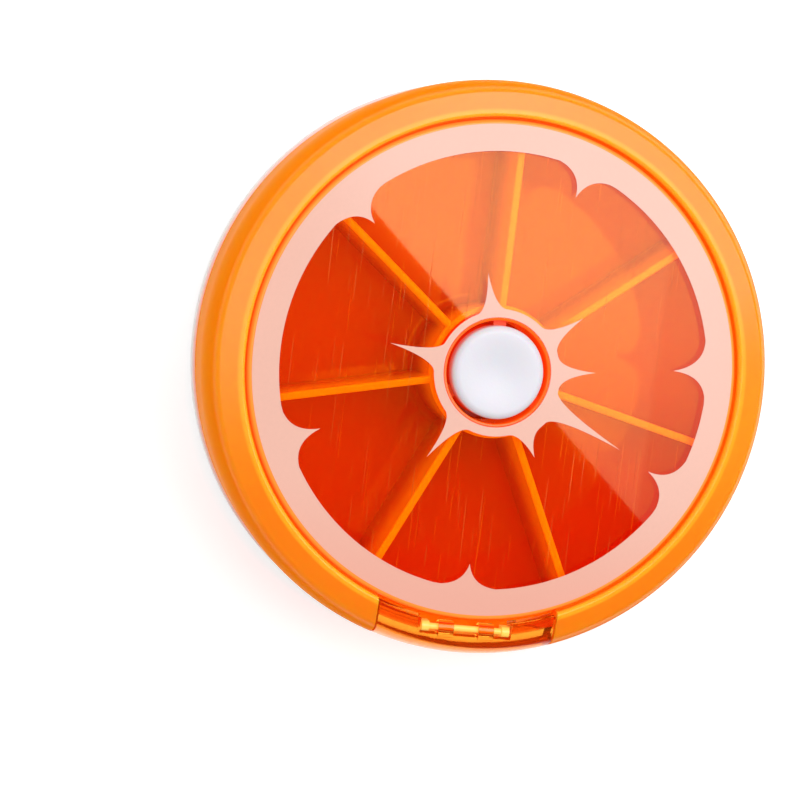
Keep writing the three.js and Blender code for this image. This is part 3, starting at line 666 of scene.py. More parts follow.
def ink():
    """Pale screen-printed ink with a faint grain, and painted shade towards the outlet."""
    made, graph = material("pale_ink")
    colours = group("finishes")
    speckle = graph.noise(INK_CLOUDS) * 0.5 + graph.noise(GRAIN) * 0.3
    base = graph.mix(speckle, colours.ink, dimmed(colours.ink, share=0.86))
    # Painted shade towards the outlet
    low = graph.between(graph.axes()[1], *INK_SHADE_BLEND)
    base = graph.mix(low * INK_SHADE_SHARE, base, colours.ink_painted_shade)
    lit_through(graph, plastic(graph, base, roughness=0.16), colours.ink)
    return made


def white_plastic(name, white, painted_shade_tint=None):
    """White plastic with a fine texture, and painted orange shade under the window if its tint is
    given.
    """
    made, graph = material(name)
    base = graph.clouded(white, dimmed(white, share=0.93), WHITE_CLOUDS, share=0.5)
    if painted_shade_tint:
        # Painted shade, tinted orange, under the window
        deep = graph.between(graph.axes()[2], seat_top(), seat_top() - KEY_SHADE_BLEND)
        base = graph.mix(deep, base, painted_shade_tint)
    texture = graph.bump(graph.noise(TEXTURE), distance=0.000012)
    sockets = {"Subsurface Weight": 0.25, "Subsurface Scale": 0.0015}
    graph.finish(plastic(graph, base, roughness=0.34, sockets=sockets, bump=texture))
    return made


def inner_plastic():
    """Pale plastic of the pieces inside."""
    made, graph = material("inner_plastic")
    inner = group("finishes").inner
    base = graph.mix(graph.noise(INNER_CLOUDS), inner, dimmed(inner, share=0.85))
    graph.finish(plastic(graph, base, roughness=0.42))
    return made


def spring_steel():
    """Drawn wire and strip with fine lines along it."""
    made, graph = material("spring_steel")
    roughness = 0.22 + graph.noise(LINES) * 0.16
    graph.finish(plastic(graph, group("finishes").steel, roughness, {"Metallic": 1.0}))
    return made


# Shapes
def arc(centre, size, start, end, steps=ARC_STEPS):
    """Points of an ellipse's arc in the profile plane, as (radius, height)."""
    points = []
    for step in range(steps + 1):
        angle = start + (end - start) * step / steps
        across, up = size[0] * math.cos(angle), size[1] * math.sin(angle)
        points.append((centre[0] + across, centre[1] + up))
    return points


def polar(radius, angle):
    return Vector((radius * math.cos(angle), radius * math.sin(angle)))


def spun(outline, steps=ROUND_STEPS, start=0.0, sweep=FULL_TURN, rise=0.0, closed=True):
    """A profile of (radius, height) turned about Z, and raised on the way, as a closed bmesh."""
    bm = bmesh.new()
    ring = [bm.verts.new((radius, 0, height)) for radius, height in outline]
    pairs = list(zip(ring, ring[1:]))
    if closed:
        pairs.append((ring[-1], ring[0]))
    edges = [bm.edges.new(pair) for pair in pairs]
    bmesh.ops.rotate(bm, verts=ring, matrix=Matrix.Rotation(start, 3, "Z"))
    whole = sweep == FULL_TURN
    bmesh.ops.spin(
        bm,
        geom=ring + edges,
        axis=(0, 0, 1),
        dvec=(0, 0, rise / steps),
        angle=sweep,
        steps=steps,
        use_merge=whole,
    )
    bmesh.ops.remove_doubles(bm, verts=bm.verts, dist=MERGE_DISTANCE)
    if not whole:
        cap(bm)
    bmesh.ops.recalc_face_normals(bm, faces=bm.faces)
    return bm


def cap(bm):
    bmesh.ops.holes_fill(bm, edges=[edge for edge in bm.edges if edge.is_boundary], sides=0)


def block(low, high):
    """A box between two corners."""
    bm = bmesh.new()
    bmesh.ops.create_cube(bm, size=1.0)
    low, high = Vector(low), Vector(high)
    bmesh.ops.scale(bm, vec=high - low, verts=bm.verts)
    bmesh.ops.translate(bm, vec=(low + high) / 2, verts=bm.verts)
    return bm


def rod(radius, left, right, centre):
    """A round bar along X through a centre in Y and Z."""
    bm = bmesh.new()
    bmesh.ops.create_cone(
        bm, cap_ends=True, segments=HINGE_SIDES, radius1=radius, radius2=radius, depth=right - left
    )
    bmesh.ops.rotate(bm, verts=bm.verts, matrix=Matrix.Rotation(QUARTER, 3, "Y"))
    bmesh.ops.translate(bm, vec=((left + right) / 2, centre[1], centre[2]), verts=bm.verts)
    return bm


def trimmed(bm, half_width):
    """Keeps what lies between two planes across X, and closes the cuts."""
    for side in (-1, 1):
        bmesh.ops.bisect_plane(
            bm,
            geom=bm.verts[:] + bm.edges[:] + bm.faces[:],
            plane_co=(side * half_width, 0, 0),
            plane_no=(side, 0, 0),
            clear_outer=True,
        )
        cap(bm)
    bmesh.ops.recalc_face_normals(bm, faces=bm.faces)
    return bm


def rounded(bm, width):
    """Bevels every sharp edge."""
    edges = [edge for edge in bm.edges if edge.is_manifold and edge.calc_face_angle() > SHARP]
    bmesh.ops.bevel(
        bm,
        geom=edges,
        offset=width,
        segments=EDGE_SEGMENTS,
        profile=0.5,
        affect="EDGES",
        clamp_overlap=True,
        material=-1,
    )
    return bm


def turned(bm, angle):
    bmesh.ops.rotate(bm, verts=bm.verts, matrix=Matrix.Rotation(angle, 3, "Z"))
    return bm


def mesh_of(bm, name="shape"):
    mesh = bpy.data.meshes.new(name)
    bm.to_mesh(mesh)
    bm.free()
    return mesh


def gathered(shapes):
    """Several shapes in one bmesh."""
    whole = bmesh.new()
    for shape in shapes:
        mesh = mesh_of(shape)
        whole.from_mesh(mesh)
        bpy.data.meshes.remove(mesh)
    return whole


def carved(bm, cutter, operation="DIFFERENCE"):
    """A shape cut by, or joined with, another."""
    objects = [bpy.data.objects.new("carving", mesh_of(shape)) for shape in (bm, cutter)]
    for made in objects:
        bpy.context.scene.collection.objects.link(made)
    modifier = objects[0].modifiers.new("carving", "BOOLEAN")
    modifier.operation = operation
    modifier.solver = "EXACT"
    modifier.object = objects[1]
    evaluated = objects[0].evaluated_get(bpy.context.evaluated_depsgraph_get())
    mesh = bpy.data.meshes.new_from_object(evaluated)
    result = bmesh.new()
    result.from_mesh(mesh)
    for made in objects:
        data = made.data
        bpy.data.objects.remove(made)
        bpy.data.meshes.remove(data)
    bpy.data.meshes.remove(mesh)
    return result


def dressed(name, bm, finish, body, slot, node):
    """The finished piece: smooth, with its finish, riding on its body in place of a CAD node."""
    mesh = mesh_of(bm, name)
    mesh.shade_smooth()
    mesh.set_sharp_from_angle(angle=SHARP)
    mesh.materials.append(finish)
    piece = bpy.data.objects.new(name, mesh)
    bpy.context.scene.collection.objects.link(piece)
    level = piece.modifiers.new("level_faces", "WEIGHTED_NORMAL")
    level.keep_sharp = True
    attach(piece, body)
    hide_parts(node)
    return piece


def repaint(node, finish):
    """Gives a CAD node that stays another finish."""
    mesh = frame["nodes"][node].data
    mesh.materials.clear()
    mesh.materials.append(finish)


# Profiles that several pieces share
def shoulder_foot():
    return SHELL_FOOT + group("shell").wall_rise


def recess_radius():
    return LENS_RADIUS + group("shell").gap


def band_radius():
    """Where the flat band of the crown ends and the shoulder falls away."""
    return recess_radius() + group("shell").band_width


def band_edge():
    return CROWN_TOP - group("shell").band_fall


def crown_radius():
    return recess_radius() + group("shell").lip_width


def seat_top():
    return LENS_TOP - group("lens").thickness


def seat_under():
    return seat_top() - group("shell").seat_thickness


def snap_heights():
    """Foot and top of the snap beads between the two halves."""
    sizes = group("cover")
    top = sizes.rim + sizes.spigot_height - sizes.snap_drop
    return top - sizes.snap_height, top


def outside():
    """From the foot up the wall and over the shoulder to the crown."""
    size = group("shell").foot_round
    foot = arc((SHELL_RADIUS - size, SHELL_FOOT + size), (size, size), -QUARTER, 0, FINE_STEPS)
    reach = (SHELL_RADIUS - band_radius(), band_edge() - shoulder_foot())
    return foot + arc((band_radius(), shoulder_foot()), reach, 0, QUARTER, 2 * ARC_STEPS)


def doorway(half_width, inner_radius):
    """The room in the rim that the flap fills."""
    margin = SHELL_RADIUS - LENS_RADIUS
    outline = [
        (inner_radius, -margin),
        (SHELL_RADIUS + margin, -margin),
        (SHELL_RADIUS + margin, CROWN_TOP + margin),
        (inner_radius, CROWN_TOP + margin),
    ]
    span = 2 * math.asin(2 * half_width / SHELL_RADIUS)
    sector = spun(outline, SMALL_STEPS, DOOR_ANGLE - span / 2, span)
    return trimmed(sector, half_width)


def shell_shape():
    """The case half with the rolled rim, the window's seat and the outlet with its ledge."""
    sizes = group("shell")
    inner = SHELL_RADIUS - sizes.wall
    lip_foot = seat_top() + sizes.lip_rise
    lip = (sizes.lip_width, CROWN_TOP - lip_foot)
    outline = outside()
    outline += arc((crown_radius(), lip_foot), lip, QUARTER, math.pi)
    outline += [
        (recess_radius(), LENS_TOP - sizes.recess_drop),
        (recess_radius() - sizes.recess_step, LENS_TOP - sizes.recess_drop),
        (recess_radius() - sizes.recess_step, seat_top()),
        (LENS_RADIUS - sizes.seat_width, seat_top()),
        (LENS_RADIUS - sizes.seat_width, seat_under()),
    ]
    reach = (inner - crown_radius(), seat_under() - shoulder_foot())
    outline += arc((crown_radius(), shoulder_foot()), reach, QUARTER, 0)
    snap_foot, snap_top = snap_heights()
    snap_reach = inner + group("cover").snap_reach
    outline += [
        (inner, snap_top + sizes.gap),
        (snap_reach, snap_top),
        (snap_reach, snap_foot),
        (inner, snap_foot - sizes.gap),
        (inner, SHELL_FOOT),
    ]
    shell = carved(spun(outline), doorway(DOOR_HALF + sizes.gap, LENS_RADIUS))
    lug_end = sizes.lug_place + sizes.lug_width / 2
    # Joined shapes share no plane here, so that the joining gives the same mesh each time.
    ledge_root = LENS_RADIUS - sizes.seat_width / 2
    ledge_under, ledge_top = seat_under() + sizes.ledge_step, seat_top() - sizes.ledge_step
    shelf = block(
        (-lug_end, HINGE.y - sizes.lug_radius, ledge_under + sizes.ledge_step),
        (lug_end, -ledge_root, ledge_top - sizes.ledge_step),
    )
    ledge_section = [
        (ledge_root, ledge_under),
        (LENS_RADIUS + sizes.outlet_ledge, ledge_under),
        (LENS_RADIUS + sizes.outlet_ledge, ledge_top),
        (ledge_root, ledge_top),
    ]
    span = 2 * math.asin((DOOR_HALF + 2 * sizes.gap) / LENS_RADIUS)
    ledge = spun(ledge_section, SMALL_STEPS, DOOR_ANGLE - span / 2, span)
    return carved(carved(shell, ledge, "UNION"), shelf, "UNION")


def bar_shape():
    """The fixed hinge bar on its two lugs."""
    sizes = group("shell")
    lug_end = sizes.lug_place + sizes.lug_width / 2
    parts = [rod(sizes.bar_radius, -lug_end, lug_end, HINGE)]
    for side in (-1, 1):
        left = side * sizes.lug_place - sizes.lug_width / 2
        right = left + sizes.lug_width
        parts.append(rod(sizes.lug_radius, left, right, HINGE))
        parts.append(
            block(
                (left, HINGE.y - sizes.lug_radius, seat_top() - 2 * sizes.ledge_step),
                (right, HINGE.y + sizes.lug_radius, HINGE.z),
            )
        )
    return gathered(parts)


def door_shape():
    """The flap, a piece of the rim with a nail groove, a notch for the lugs and two hooks."""
    shell = group("shell")
    sizes = group("door")
    top_radius = LENS_RADIUS + sizes.top_gap
    inner = SHELL_RADIUS - sizes.thickness
    under = CROWN_TOP - sizes.thickness
    outline = outside()
    share = (band_radius() - top_radius) / (band_radius() - crown_radius())
    outline += [
        (top_radius, band_edge() + share * (CROWN_TOP - band_edge())),
        (top_radius, under),
    ]
    reach = (inner - crown_radius(), under - shoulder_foot())
    outline += arc((crown_radius(), shoulder_foot()), reach, QUARTER, 0)
    outline.append((inner, SHELL_FOOT))
    span = 2 * math.asin(2 * DOOR_HALF / SHELL_RADIUS)
    flap = trimmed(spun(outline, SMALL_STEPS, DOOR_ANGLE - span / 2, span), DOOR_HALF)
    notch_half = shell.lug_place + shell.lug_width / 2 + shell.gap
    notch_foot = (-notch_half, HINGE.y - shell.lug_radius - shell.gap, 0)
    flap = carved(flap, block(notch_foot, (notch_half, 0, 2 * CROWN_TOP)))
    groove_ring = arc(
        (SHELL_RADIUS, SHELL_FOOT + sizes.groove_rise),
        (sizes.groove_radius, sizes.groove_radius),
        0,
        FULL_TURN,
    )[:-1]
    groove_span = 2 * math.asin(sizes.groove_half / SHELL_RADIUS)
    flap = carved(flap, spun(groove_ring, SMALL_STEPS, DOOR_ANGLE - groove_span / 2, groove_span))
    return carved(flap, gathered([hook(side) for side in (-1, 1)]), "UNION")


def hook(side):
    """One of the two C-shaped hooks that clip the flap on its bar."""
    shell = group("shell")
    sizes = group("door")
    left = side * sizes.hook_place - sizes.hook_width / 2
    right = left + sizes.hook_width
    before, beyond = left - sizes.hook_width, right + sizes.hook_width
    reach = shell.lug_radius + 2 * shell.gap
    barrel = rod(sizes.hook_radius, left, right, HINGE)
    web = block(
        (left, HINGE.y - reach, HINGE.z - sizes.web_drop),
        (right, HINGE.y, HINGE.z + sizes.hook_radius),
    )
    mouth = block(
        (before, HINGE.y, HINGE.z - sizes.hook_mouth / 2),
        (beyond, HINGE.y + 2 * sizes.hook_radius, HINGE.z + sizes.hook_mouth / 2),
    )
    bore = rod(shell.bar_radius + shell.gap, before, beyond, HINGE)
    return carved(carved(carved(barrel, web, "UNION"), mouth), bore)


def ink_margin():
    return LENS_RADIUS - RIND_RADIUS


def pane_shape():
    """The clear middle of the window, from the hole's lining to under the rind print."""
    sizes = group("lens")
    inner = sizes.hole_radius + sizes.lining
    outer = RIND_RADIUS - ink_margin()
    return spun([(inner, seat_top()), (outer, seat_top()), (outer, LENS_TOP), (inner, LENS_TOP)])


def window_rim_shape():
    """The bevelled edge of the window, with its locating key."""
    sizes = group("lens")
    under = seat_top()
    inner = RIND_RADIUS - ink_margin()
    edge = sizes.edge_round
    outline = [
        (inner, under),
        (LENS_RADIUS, under),
        (LENS_RADIUS, LENS_TOP - sizes.bevel_height),
    ]
    outline += arc(
        (LENS_RADIUS - sizes.bevel_width, LENS_TOP - sizes.bevel_height),
        (sizes.bevel_width, sizes.bevel_height),
        0,
        QUARTER,
        BEVEL_STEPS,
    )[1:]
    outline.append((inner, LENS_TOP))
    key = block(
        (LENS_RADIUS - sizes.bevel_width, -sizes.key_width / 2, under + edge),
        (LENS_RADIUS + sizes.key_reach, sizes.key_width / 2, LENS_TOP - sizes.bevel_height),
    )
    return carved(spun(outline), turned(rounded(key, edge), LENS_KEY_ANGLE), "UNION")


def guide_shape():
    """The lining of the button hole, and the guide tube under it with its three slots."""
    sizes = group("lens")
    under = seat_top()
    hole = sizes.hole_radius
    edge = sizes.edge_round
    outline = [(hole, under), (hole + sizes.lining, under), (hole + sizes.lining, LENS_TOP)]
    outline += arc((hole + edge, LENS_TOP - edge), (edge, edge), QUARTER, math.pi, FINE_STEPS)
    parts = [spun(outline)]
    guide = [
        (hole, GUIDE_FOOT),
        (hole + sizes.guide_wall, GUIDE_FOOT),
        (hole + sizes.guide_wall, under),
        (hole, under),
    ]
    slot = 2 * math.asin(sizes.slot_width / 2 / hole)
    wall = FULL_TURN / KEYS - slot
    for index in range(KEYS):
        start = -DOOR_ANGLE + slot / 2 + index * FULL_TURN / KEYS
        parts.append(spun(guide, SMALL_STEPS // KEYS, start, wall))
    return gathered(parts)


def bent(start, middle, end, steps=ARC_STEPS):
    """Points of a curve that leaves start towards middle and comes to end from there."""
    points = []
    for step in range(1, steps + 1):
        share = step / steps
        points.append(start.lerp(middle, share).lerp(middle.lerp(end, share), share))
    return points


def following(shares, index):
    """Direction of the next point of a table, past a full turn after its last one."""
    turns, place = divmod(index + 1, len(shares))
    return (shares[place][0] + turns) * FULL_TURN


def along(radius, start, end):
    """Points on a circle from one direction to another, without its two ends."""
    count = max(2, round(SMALL_STEPS * (end - start) / QUARTER))
    return [polar(radius, start + (end - start) * step / count) for step in range(1, count)]


def flesh_outline():
    """Inner edge of the rind: round, with a pointed notch between each two segments."""
    flesh = RIND_RADIUS - group("print").rind_width
    bend = NOTCH_BEND * flesh
    points = []
    for index, (turn_share, depth_share) in enumerate(RIND_NOTCH_SHARES):
        middle = turn_share * FULL_TURN
        tip = polar(flesh * depth_share, middle)
        points += bent(polar(flesh, middle - NOTCH_SPREAD), polar(bend, middle - NOTCH_LEAN), tip)
        points += bent(tip, polar(bend, middle + NOTCH_LEAN), polar(flesh, middle + NOTCH_SPREAD))
        after = following(RIND_NOTCH_SHARES, index)
        points += along(flesh, middle + NOTCH_SPREAD, after - NOTCH_SPREAD)
    return points


def star_outline():
    """Outer edge of the star, with hollow sides between its points."""
    sizes = group("print")
    flesh = RIND_RADIUS - sizes.rind_width
    rise = 1 / math.cos(POINT_SPREAD - POINT_LEAN)
    points = []
    web = sizes.web_radius * STAR_POINT_SHARES[-1][2]
    for index, (turn_share, tip_share, web_share) in enumerate(STAR_POINT_SHARES):
        middle = turn_share * FULL_TURN
        tip = polar(flesh * tip_share, middle)
        root = polar(web, middle - POINT_SPREAD)
        points += bent(root, polar(web * rise, middle - POINT_LEAN), tip)
        web = sizes.web_radius * web_share
        root = polar(web, middle + POINT_SPREAD)
        points += bent(tip, polar(web * rise, middle + POINT_LEAN), root)
        after = following(STAR_POINT_SHARES, index)
        points += along(web, middle + POINT_SPREAD, after - POINT_SPREAD)
    return points


def circle(radius, steps=ROUND_STEPS):
    return [polar(radius, FULL_TURN * step / steps) for step in range(steps)]


def plate(outer, inner, foot, top):
    """A level plate between two outlines."""
    bm = bmesh.new()
    edges = []
    for outline in (outer, inner):
        ring = [bm.verts.new((point.x, point.y, foot)) for point in outline]
        edges += [bm.edges.new(pair) for pair in zip(ring, ring[1:] + ring[:1])]
    bmesh.ops.triangle_fill(bm, use_beauty=True, use_dissolve=False, edges=edges)
    raised = bmesh.ops.extrude_face_region(bm, geom=bm.faces[:], use_keep_orig=True)
    lifted = [item for item in raised["geom"] if isinstance(item, bmesh.types.BMVert)]
    bmesh.ops.translate(bm, vec=(0, 0, top - foot), verts=lifted)
    bmesh.ops.recalc_face_normals(bm, faces=bm.faces)
    return bm


def cap_shape():
    """The dished cap with its skirt, the plunger's socket and three guide keys."""
    sizes = group("button")
    edge = sizes.edge_round
    flat = sizes.radius - edge
    under = BUTTON_CROWN - sizes.dish - sizes.top
    outline = []
    for step in range(ARC_STEPS):
        share = step / ARC_STEPS
        lift = (1 - math.cos(share * math.pi)) / 2
        outline.append((flat * share, BUTTON_CROWN - sizes.dish * (1 - lift)))
    outline += arc((flat, BUTTON_CROWN - edge), (edge, edge), QUARTER, 0)
    outline += [
        (sizes.radius, SKIRT_FOOT),
        (sizes.radius - sizes.skirt_wall, SKIRT_FOOT),
        (sizes.radius - sizes.skirt_wall, under),
        (sizes.socket_bore + sizes.socket_wall, under),
        (sizes.socket_bore + sizes.socket_wall, under - sizes.socket_depth),
        (sizes.socket_bore, under - sizes.socket_depth),
        (sizes.socket_bore, under),
        (0, under),
    ]
    parts = [spun(outline, SMALL_STEPS, closed=False)]
    key_root, key_half = sizes.radius - sizes.skirt_wall / 2, sizes.key_width / 2
    key_top = seat_top() - group("shell").gap
    for index in range(KEYS):
        key = block(
            (key_root, -key_half, key_top - sizes.key_height),
            (sizes.key_reach, key_half, key_top),
        )
        parts.append(turned(key, -DOOR_ANGLE + index * FULL_TURN / KEYS))
    return gathered(parts)


def coil_shape():
    """The return spring under the cap: one wire along a helix."""
    sizes = group("button")
    foot, top = sizes.coil_foot + sizes.coil_wire, sizes.coil_top - sizes.coil_wire
    size = (sizes.coil_wire, sizes.coil_wire)
    wire = arc((sizes.coil_radius, foot), size, 0, FULL_TURN, WIRE_SIDES)[:-1]
    steps = COIL_TURNS * SMALL_STEPS // 2
    return spun(wire, steps, sweep=COIL_TURNS * FULL_TURN, rise=top - foot)


def cover_shape():
    """The white half with its spigot, snap beads, spring posts, rib and boss."""
    sizes = group("cover")
    shell = group("shell")
    spigot_outer = SHELL_RADIUS - shell.wall - shell.gap
    spigot_inner = spigot_outer - sizes.spigot_wall
    spigot_top = sizes.rim + sizes.spigot_height
    edge = sizes.edge_round
    rim = sizes.rim_round
    boss_outer = sizes.boss_bore + sizes.boss_wall
    outline = [(0, 0)]
    outline += arc((COVER_RADIUS - edge, edge), (edge, edge), -QUARTER, 0)
    outline += arc((COVER_RADIUS - rim, sizes.rim - rim), (rim, rim), 0, QUARTER, FINE_STEPS)
    outline += [
        (spigot_outer, sizes.rim),
        (spigot_outer, spigot_top),
        (spigot_inner, spigot_top),
        (spigot_inner, sizes.floor),
        (sizes.rib_radius, sizes.floor),
        (sizes.rib_radius, sizes.rib_top),
        (sizes.rib_radius - sizes.rib_wall, sizes.rib_top),
        (sizes.rib_radius - sizes.rib_wall, sizes.floor),
        (boss_outer, sizes.floor),
        (boss_outer, sizes.floor + sizes.boss_height),
        (sizes.boss_bore, sizes.floor + sizes.boss_height),
        (sizes.boss_bore, sizes.floor),
        (0, sizes.floor),
    ]
    sill = block(
        (-sizes.sill_half, -SHELL_RADIUS, sizes.sill_height),
        (sizes.sill_half, -spigot_inner / 2, 2 * spigot_top),
    )
    details = gathered(snap_beads(spigot_outer) + spring_posts())
    return carved(carved(spun(outline, closed=False), details, "UNION"), sill)


def snap_beads(radius):
    """Short beads on the spigot that click in to the shell's groove."""
    sizes = group("cover")
    foot, top = snap_heights()
    section = [
        (radius - sizes.spigot_wall / 2, foot),
        (radius, foot),
        (radius + sizes.snap_reach, (foot + top) / 2),
        (radius, top),
        (radius - sizes.spigot_wall / 2, top),
    ]
    span = 2 * math.asin(sizes.snap_width / 2 / radius)
    first = FULL_TURN / COMPARTMENTS / 2 - span / 2
    starts = [first + index * FULL_TURN / SNAPS for index in range(SNAPS)]
    return [spun(section, ARC_STEPS, start, span) for start in starts]


def spring_posts():
    """Pairs of posts that hold the ends of the index spring."""
    sizes = group("cover")
    rows = (
        (sizes.post_near - sizes.post_depth, sizes.post_near),
        (sizes.post_far, sizes.post_far + sizes.post_depth),
    )
    posts = []
    for near, far in rows:
        for left in (-sizes.post_end, sizes.post_end - sizes.post_length):
            right = left + sizes.post_length
            posts.append(block((left, near, sizes.floor / 2), (right, far, sizes.post_top)))
    return posts


def divider_shape():
    """One divider, standing in the XZ plane."""
    sizes = group("wheel")
    cover = group("cover")
    ledge = cover.rim + cover.spigot_height + group("shell").gap
    middle = (sizes.hub_inner + sizes.hub_outer) / 2
    foot = sizes.under + sizes.floor / 2
    corners = [
        (middle, foot),
        (sizes.radius, foot),
        (sizes.radius, ledge),
        (sizes.divider_radius, ledge),
        (sizes.divider_radius, shoulder_foot()),
        (sizes.divider_radius - sizes.chamfer, sizes.divider_top),
        (sizes.step_radius, sizes.divider_top),
        (sizes.step_radius, HUB_TOP),
        (middle, HUB_TOP),
    ]
    bm = bmesh.new()
    ring = [bm.verts.new((radius, -sizes.divider / 2, height)) for radius, height in corners]
    side = bm.faces.new(ring)
    raised = bmesh.ops.extrude_face_region(bm, geom=[side], use_keep_orig=True)
    lifted = [item for item in raised["geom"] if isinstance(item, bmesh.types.BMVert)]
    bmesh.ops.translate(bm, vec=(0, sizes.divider, 0), verts=lifted)
    bmesh.ops.recalc_face_normals(bm, faces=bm.faces)
    return rounded(bm, sizes.soft_edge)


def wheel_shape():
    """The wheel with its hub, floor, dividers, ratchet and index ring."""
    sizes = group("wheel")
    floor_top = sizes.under + sizes.floor
    fillet = sizes.fillet
    edge = sizes.soft_edge
    outline = [
        (sizes.bore, sizes.under),
        (sizes.radius, sizes.under),
        (sizes.radius, floor_top),
    ]
    middle = (sizes.hub_outer + fillet, floor_top + fillet)
    outline += arc(middle, (fillet, fillet), -QUARTER, -math.pi)
    middle = (sizes.hub_outer - edge, HUB_TOP - edge)
    outline += arc(middle, (edge, edge), 0, QUARTER, FINE_STEPS)
    outline += [
        (sizes.hub_inner, HUB_TOP),
        (sizes.hub_inner, sizes.bearing_top),
        (sizes.bore, sizes.bearing_top),
    ]
    parts = [ratchet_shape(), index_ring_shape()]
    for index in range(COMPARTMENTS):
        parts.append(turned(divider_shape(), -DOOR_ANGLE + index * FULL_TURN / COMPARTMENTS))
    return carved(spun(outline), gathered(parts), "UNION")


def ratchet_shape():
    """Ring of teeth inside the hub that rise slowly and drop steeply."""
    sizes = group("wheel")
    pitch = FULL_TURN / TEETH
    steep = pitch / ROUND_STEPS
    pocket = []
    for index in range(TEETH):
        pocket.append(polar(sizes.tooth_tip, index * pitch))
        pocket.append(polar((sizes.tooth_tip + sizes.tooth_root) / 2, (index + 0.5) * pitch))
        pocket.append(polar(sizes.tooth_root, (index + 1) * pitch - steep))
    middle = (sizes.hub_inner + sizes.hub_outer) / 2
    return plate(circle(middle, SMALL_STEPS), pocket, sizes.tooth_foot, sizes.tooth_top)


def index_ring_shape():
    """Ring under the floor with a notch for each compartment."""
    sizes = group("wheel")
    half = math.asin(sizes.notch_half / sizes.index_radius)
    pitch = FULL_TURN / COMPARTMENTS
    outer = []
    for index in range(COMPARTMENTS):
        middle = -DOOR_ANGLE + index * pitch
        outer.append(polar(sizes.index_radius, middle - half))
        outer.append(polar(sizes.index_radius - sizes.notch_depth, middle))
        outer.append(polar(sizes.index_radius, middle + half))
        outer += along(sizes.index_radius, middle + half, middle + pitch - half)
    inner = circle(sizes.index_radius - sizes.index_wall, SMALL_STEPS)
    return plate(outer, inner, sizes.index_foot, sizes.under + sizes.floor / 2)


# Operators: one for each piece or group of like pieces
class PILLBOX_OT_shell(bpy.types.Operator):
    """Make the milky tangerine shell with its rolled rim and hinge bar"""

    bl_idname = "pillbox.shell"
    bl_label = "Shell"

    def execute(self, context):
        role = ("case", "tangerine_shell", "front_shell")
        dressed("moulded_shell", shell_shape(), shell_plastic(), *role)
        dressed("hinge_bar", bar_shape(), bar_plastic(), *role)
        return {"FINISHED"}


class PILLBOX_OT_window(bpy.types.Operator):
    """Make the clear window with its rim, guide tube and key"""

    bl_idname = "pillbox.window"
    bl_label = "Window"

    def execute(self, context):
        edge = edge_plastic("edge_tangerine", group("finishes").edge_bright)
        lining = edge_plastic("lining_tangerine", group("finishes").lining)
        role = ("case", "tangerine_window", "lens")
        dressed("window_pane", pane_shape(), window_plastic(), *role)
        dressed("window_rim", window_rim_shape(), edge, *role)
        dressed("button_guide", guide_shape(), lining, *role)
        return {"FINISHED"}


class PILLBOX_OT_prints(bpy.types.Operator):
    """Print the rind and the star on the window"""

    bl_idname = "pillbox.prints"
    bl_label = "Prints"

    def execute(self, context):
        pale = ink()
        hole = circle(group("print").hole_radius)
        rind = plate(circle(RIND_RADIUS), flesh_outline(), LENS_TOP, INK_TOP)
        star = plate(star_outline(), hole, LENS_TOP, INK_TOP)
        dressed("rind_ink", rind, pale, "case", "pale_ink", "rind_print")
        dressed("star_ink", star, pale, "case", "pale_ink", "star_print")
        return {"FINISHED"}


class PILLBOX_OT_flap(bpy.types.Operator):
    """Make the clear amber flap of the outlet with its two hooks"""

    bl_idname = "pillbox.flap"
    bl_label = "Outlet flap"

    def execute(self, context):
        dressed("outlet_flap", door_shape(), flap_plastic(), "door", "amber_door", "outlet_door")
        return {"FINISHED"}


class PILLBOX_OT_cover(bpy.types.Operator):
    """Make the white back half with its spigot and sill"""

    bl_idname = "pillbox.cover"
    bl_label = "Back cover"

    def execute(self, context):
        white = white_plastic("cover_white", group("finishes").cover_white)
        dressed("white_back", cover_shape(), white, "case", "white_plastic", "back_cover")
        return {"FINISHED"}


class PILLBOX_OT_button(bpy.types.Operator):
    """Make the dished white push cap with its keys"""

    bl_idname = "pillbox.button"
    bl_label = "Button"

    def execute(self, context):
        white = white_plastic("button_white", group("finishes").white, group("finishes").key_painted_shade)
        dressed("push_cap", cap_shape(), white, "button", "white_plastic", "button_cap")
        return {"FINISHED"}


class PILLBOX_OT_wheel(bpy.types.Operator):
    """Make the wheel with its hub, floor and dividers"""

    bl_idname = "pillbox.wheel"
    bl_label = "Pill wheel"

    def execute(self, context):
        role = ("wheel", "tangerine_wheel", "pill_wheel")
        dressed("compartment_wheel", wheel_shape(), wheel_plastic(), *role)
        return {"FINISHED"}


class PILLBOX_OT_mechanism(bpy.types.Operator):
    """Finish the drive and the springs inside"""

    bl_idname = "pillbox.mechanism"
    bl_label = "Mechanism"

    def execute(self, context):
        pale = inner_plastic()
        steel = spring_steel()
        for node in ("plunger", "drive_collar"):
            repaint(node, pale)
        for node in ("pawl_spring", "spring_washer", "index_spring"):
            repaint(node, steel)
        sizes = group("button")
        coil = dressed("return_coil", coil_shape(), steel, "case", "spring_steel", "button_spring")
        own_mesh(coil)
        return {"FINISHED"}


def floor_finish(settings):
    """Pale floor that is lifted to white where it is seen, and keeps the shadow."""
    made, graph = material("pale_floor")
    shown = graph.ray("Camera", "Glossy", "Transmission")
    sockets = {
        "Emission Color": graph.mix(shown, (0, 0, 0), (1, 1, 1)),
        "Emission Strength": settings.floor_lift,
        "Specular IOR Level": 0.0,
    }
    graph.finish(plastic(graph, settings.floor_colour, roughness=0.9, sockets=sockets))
    return made


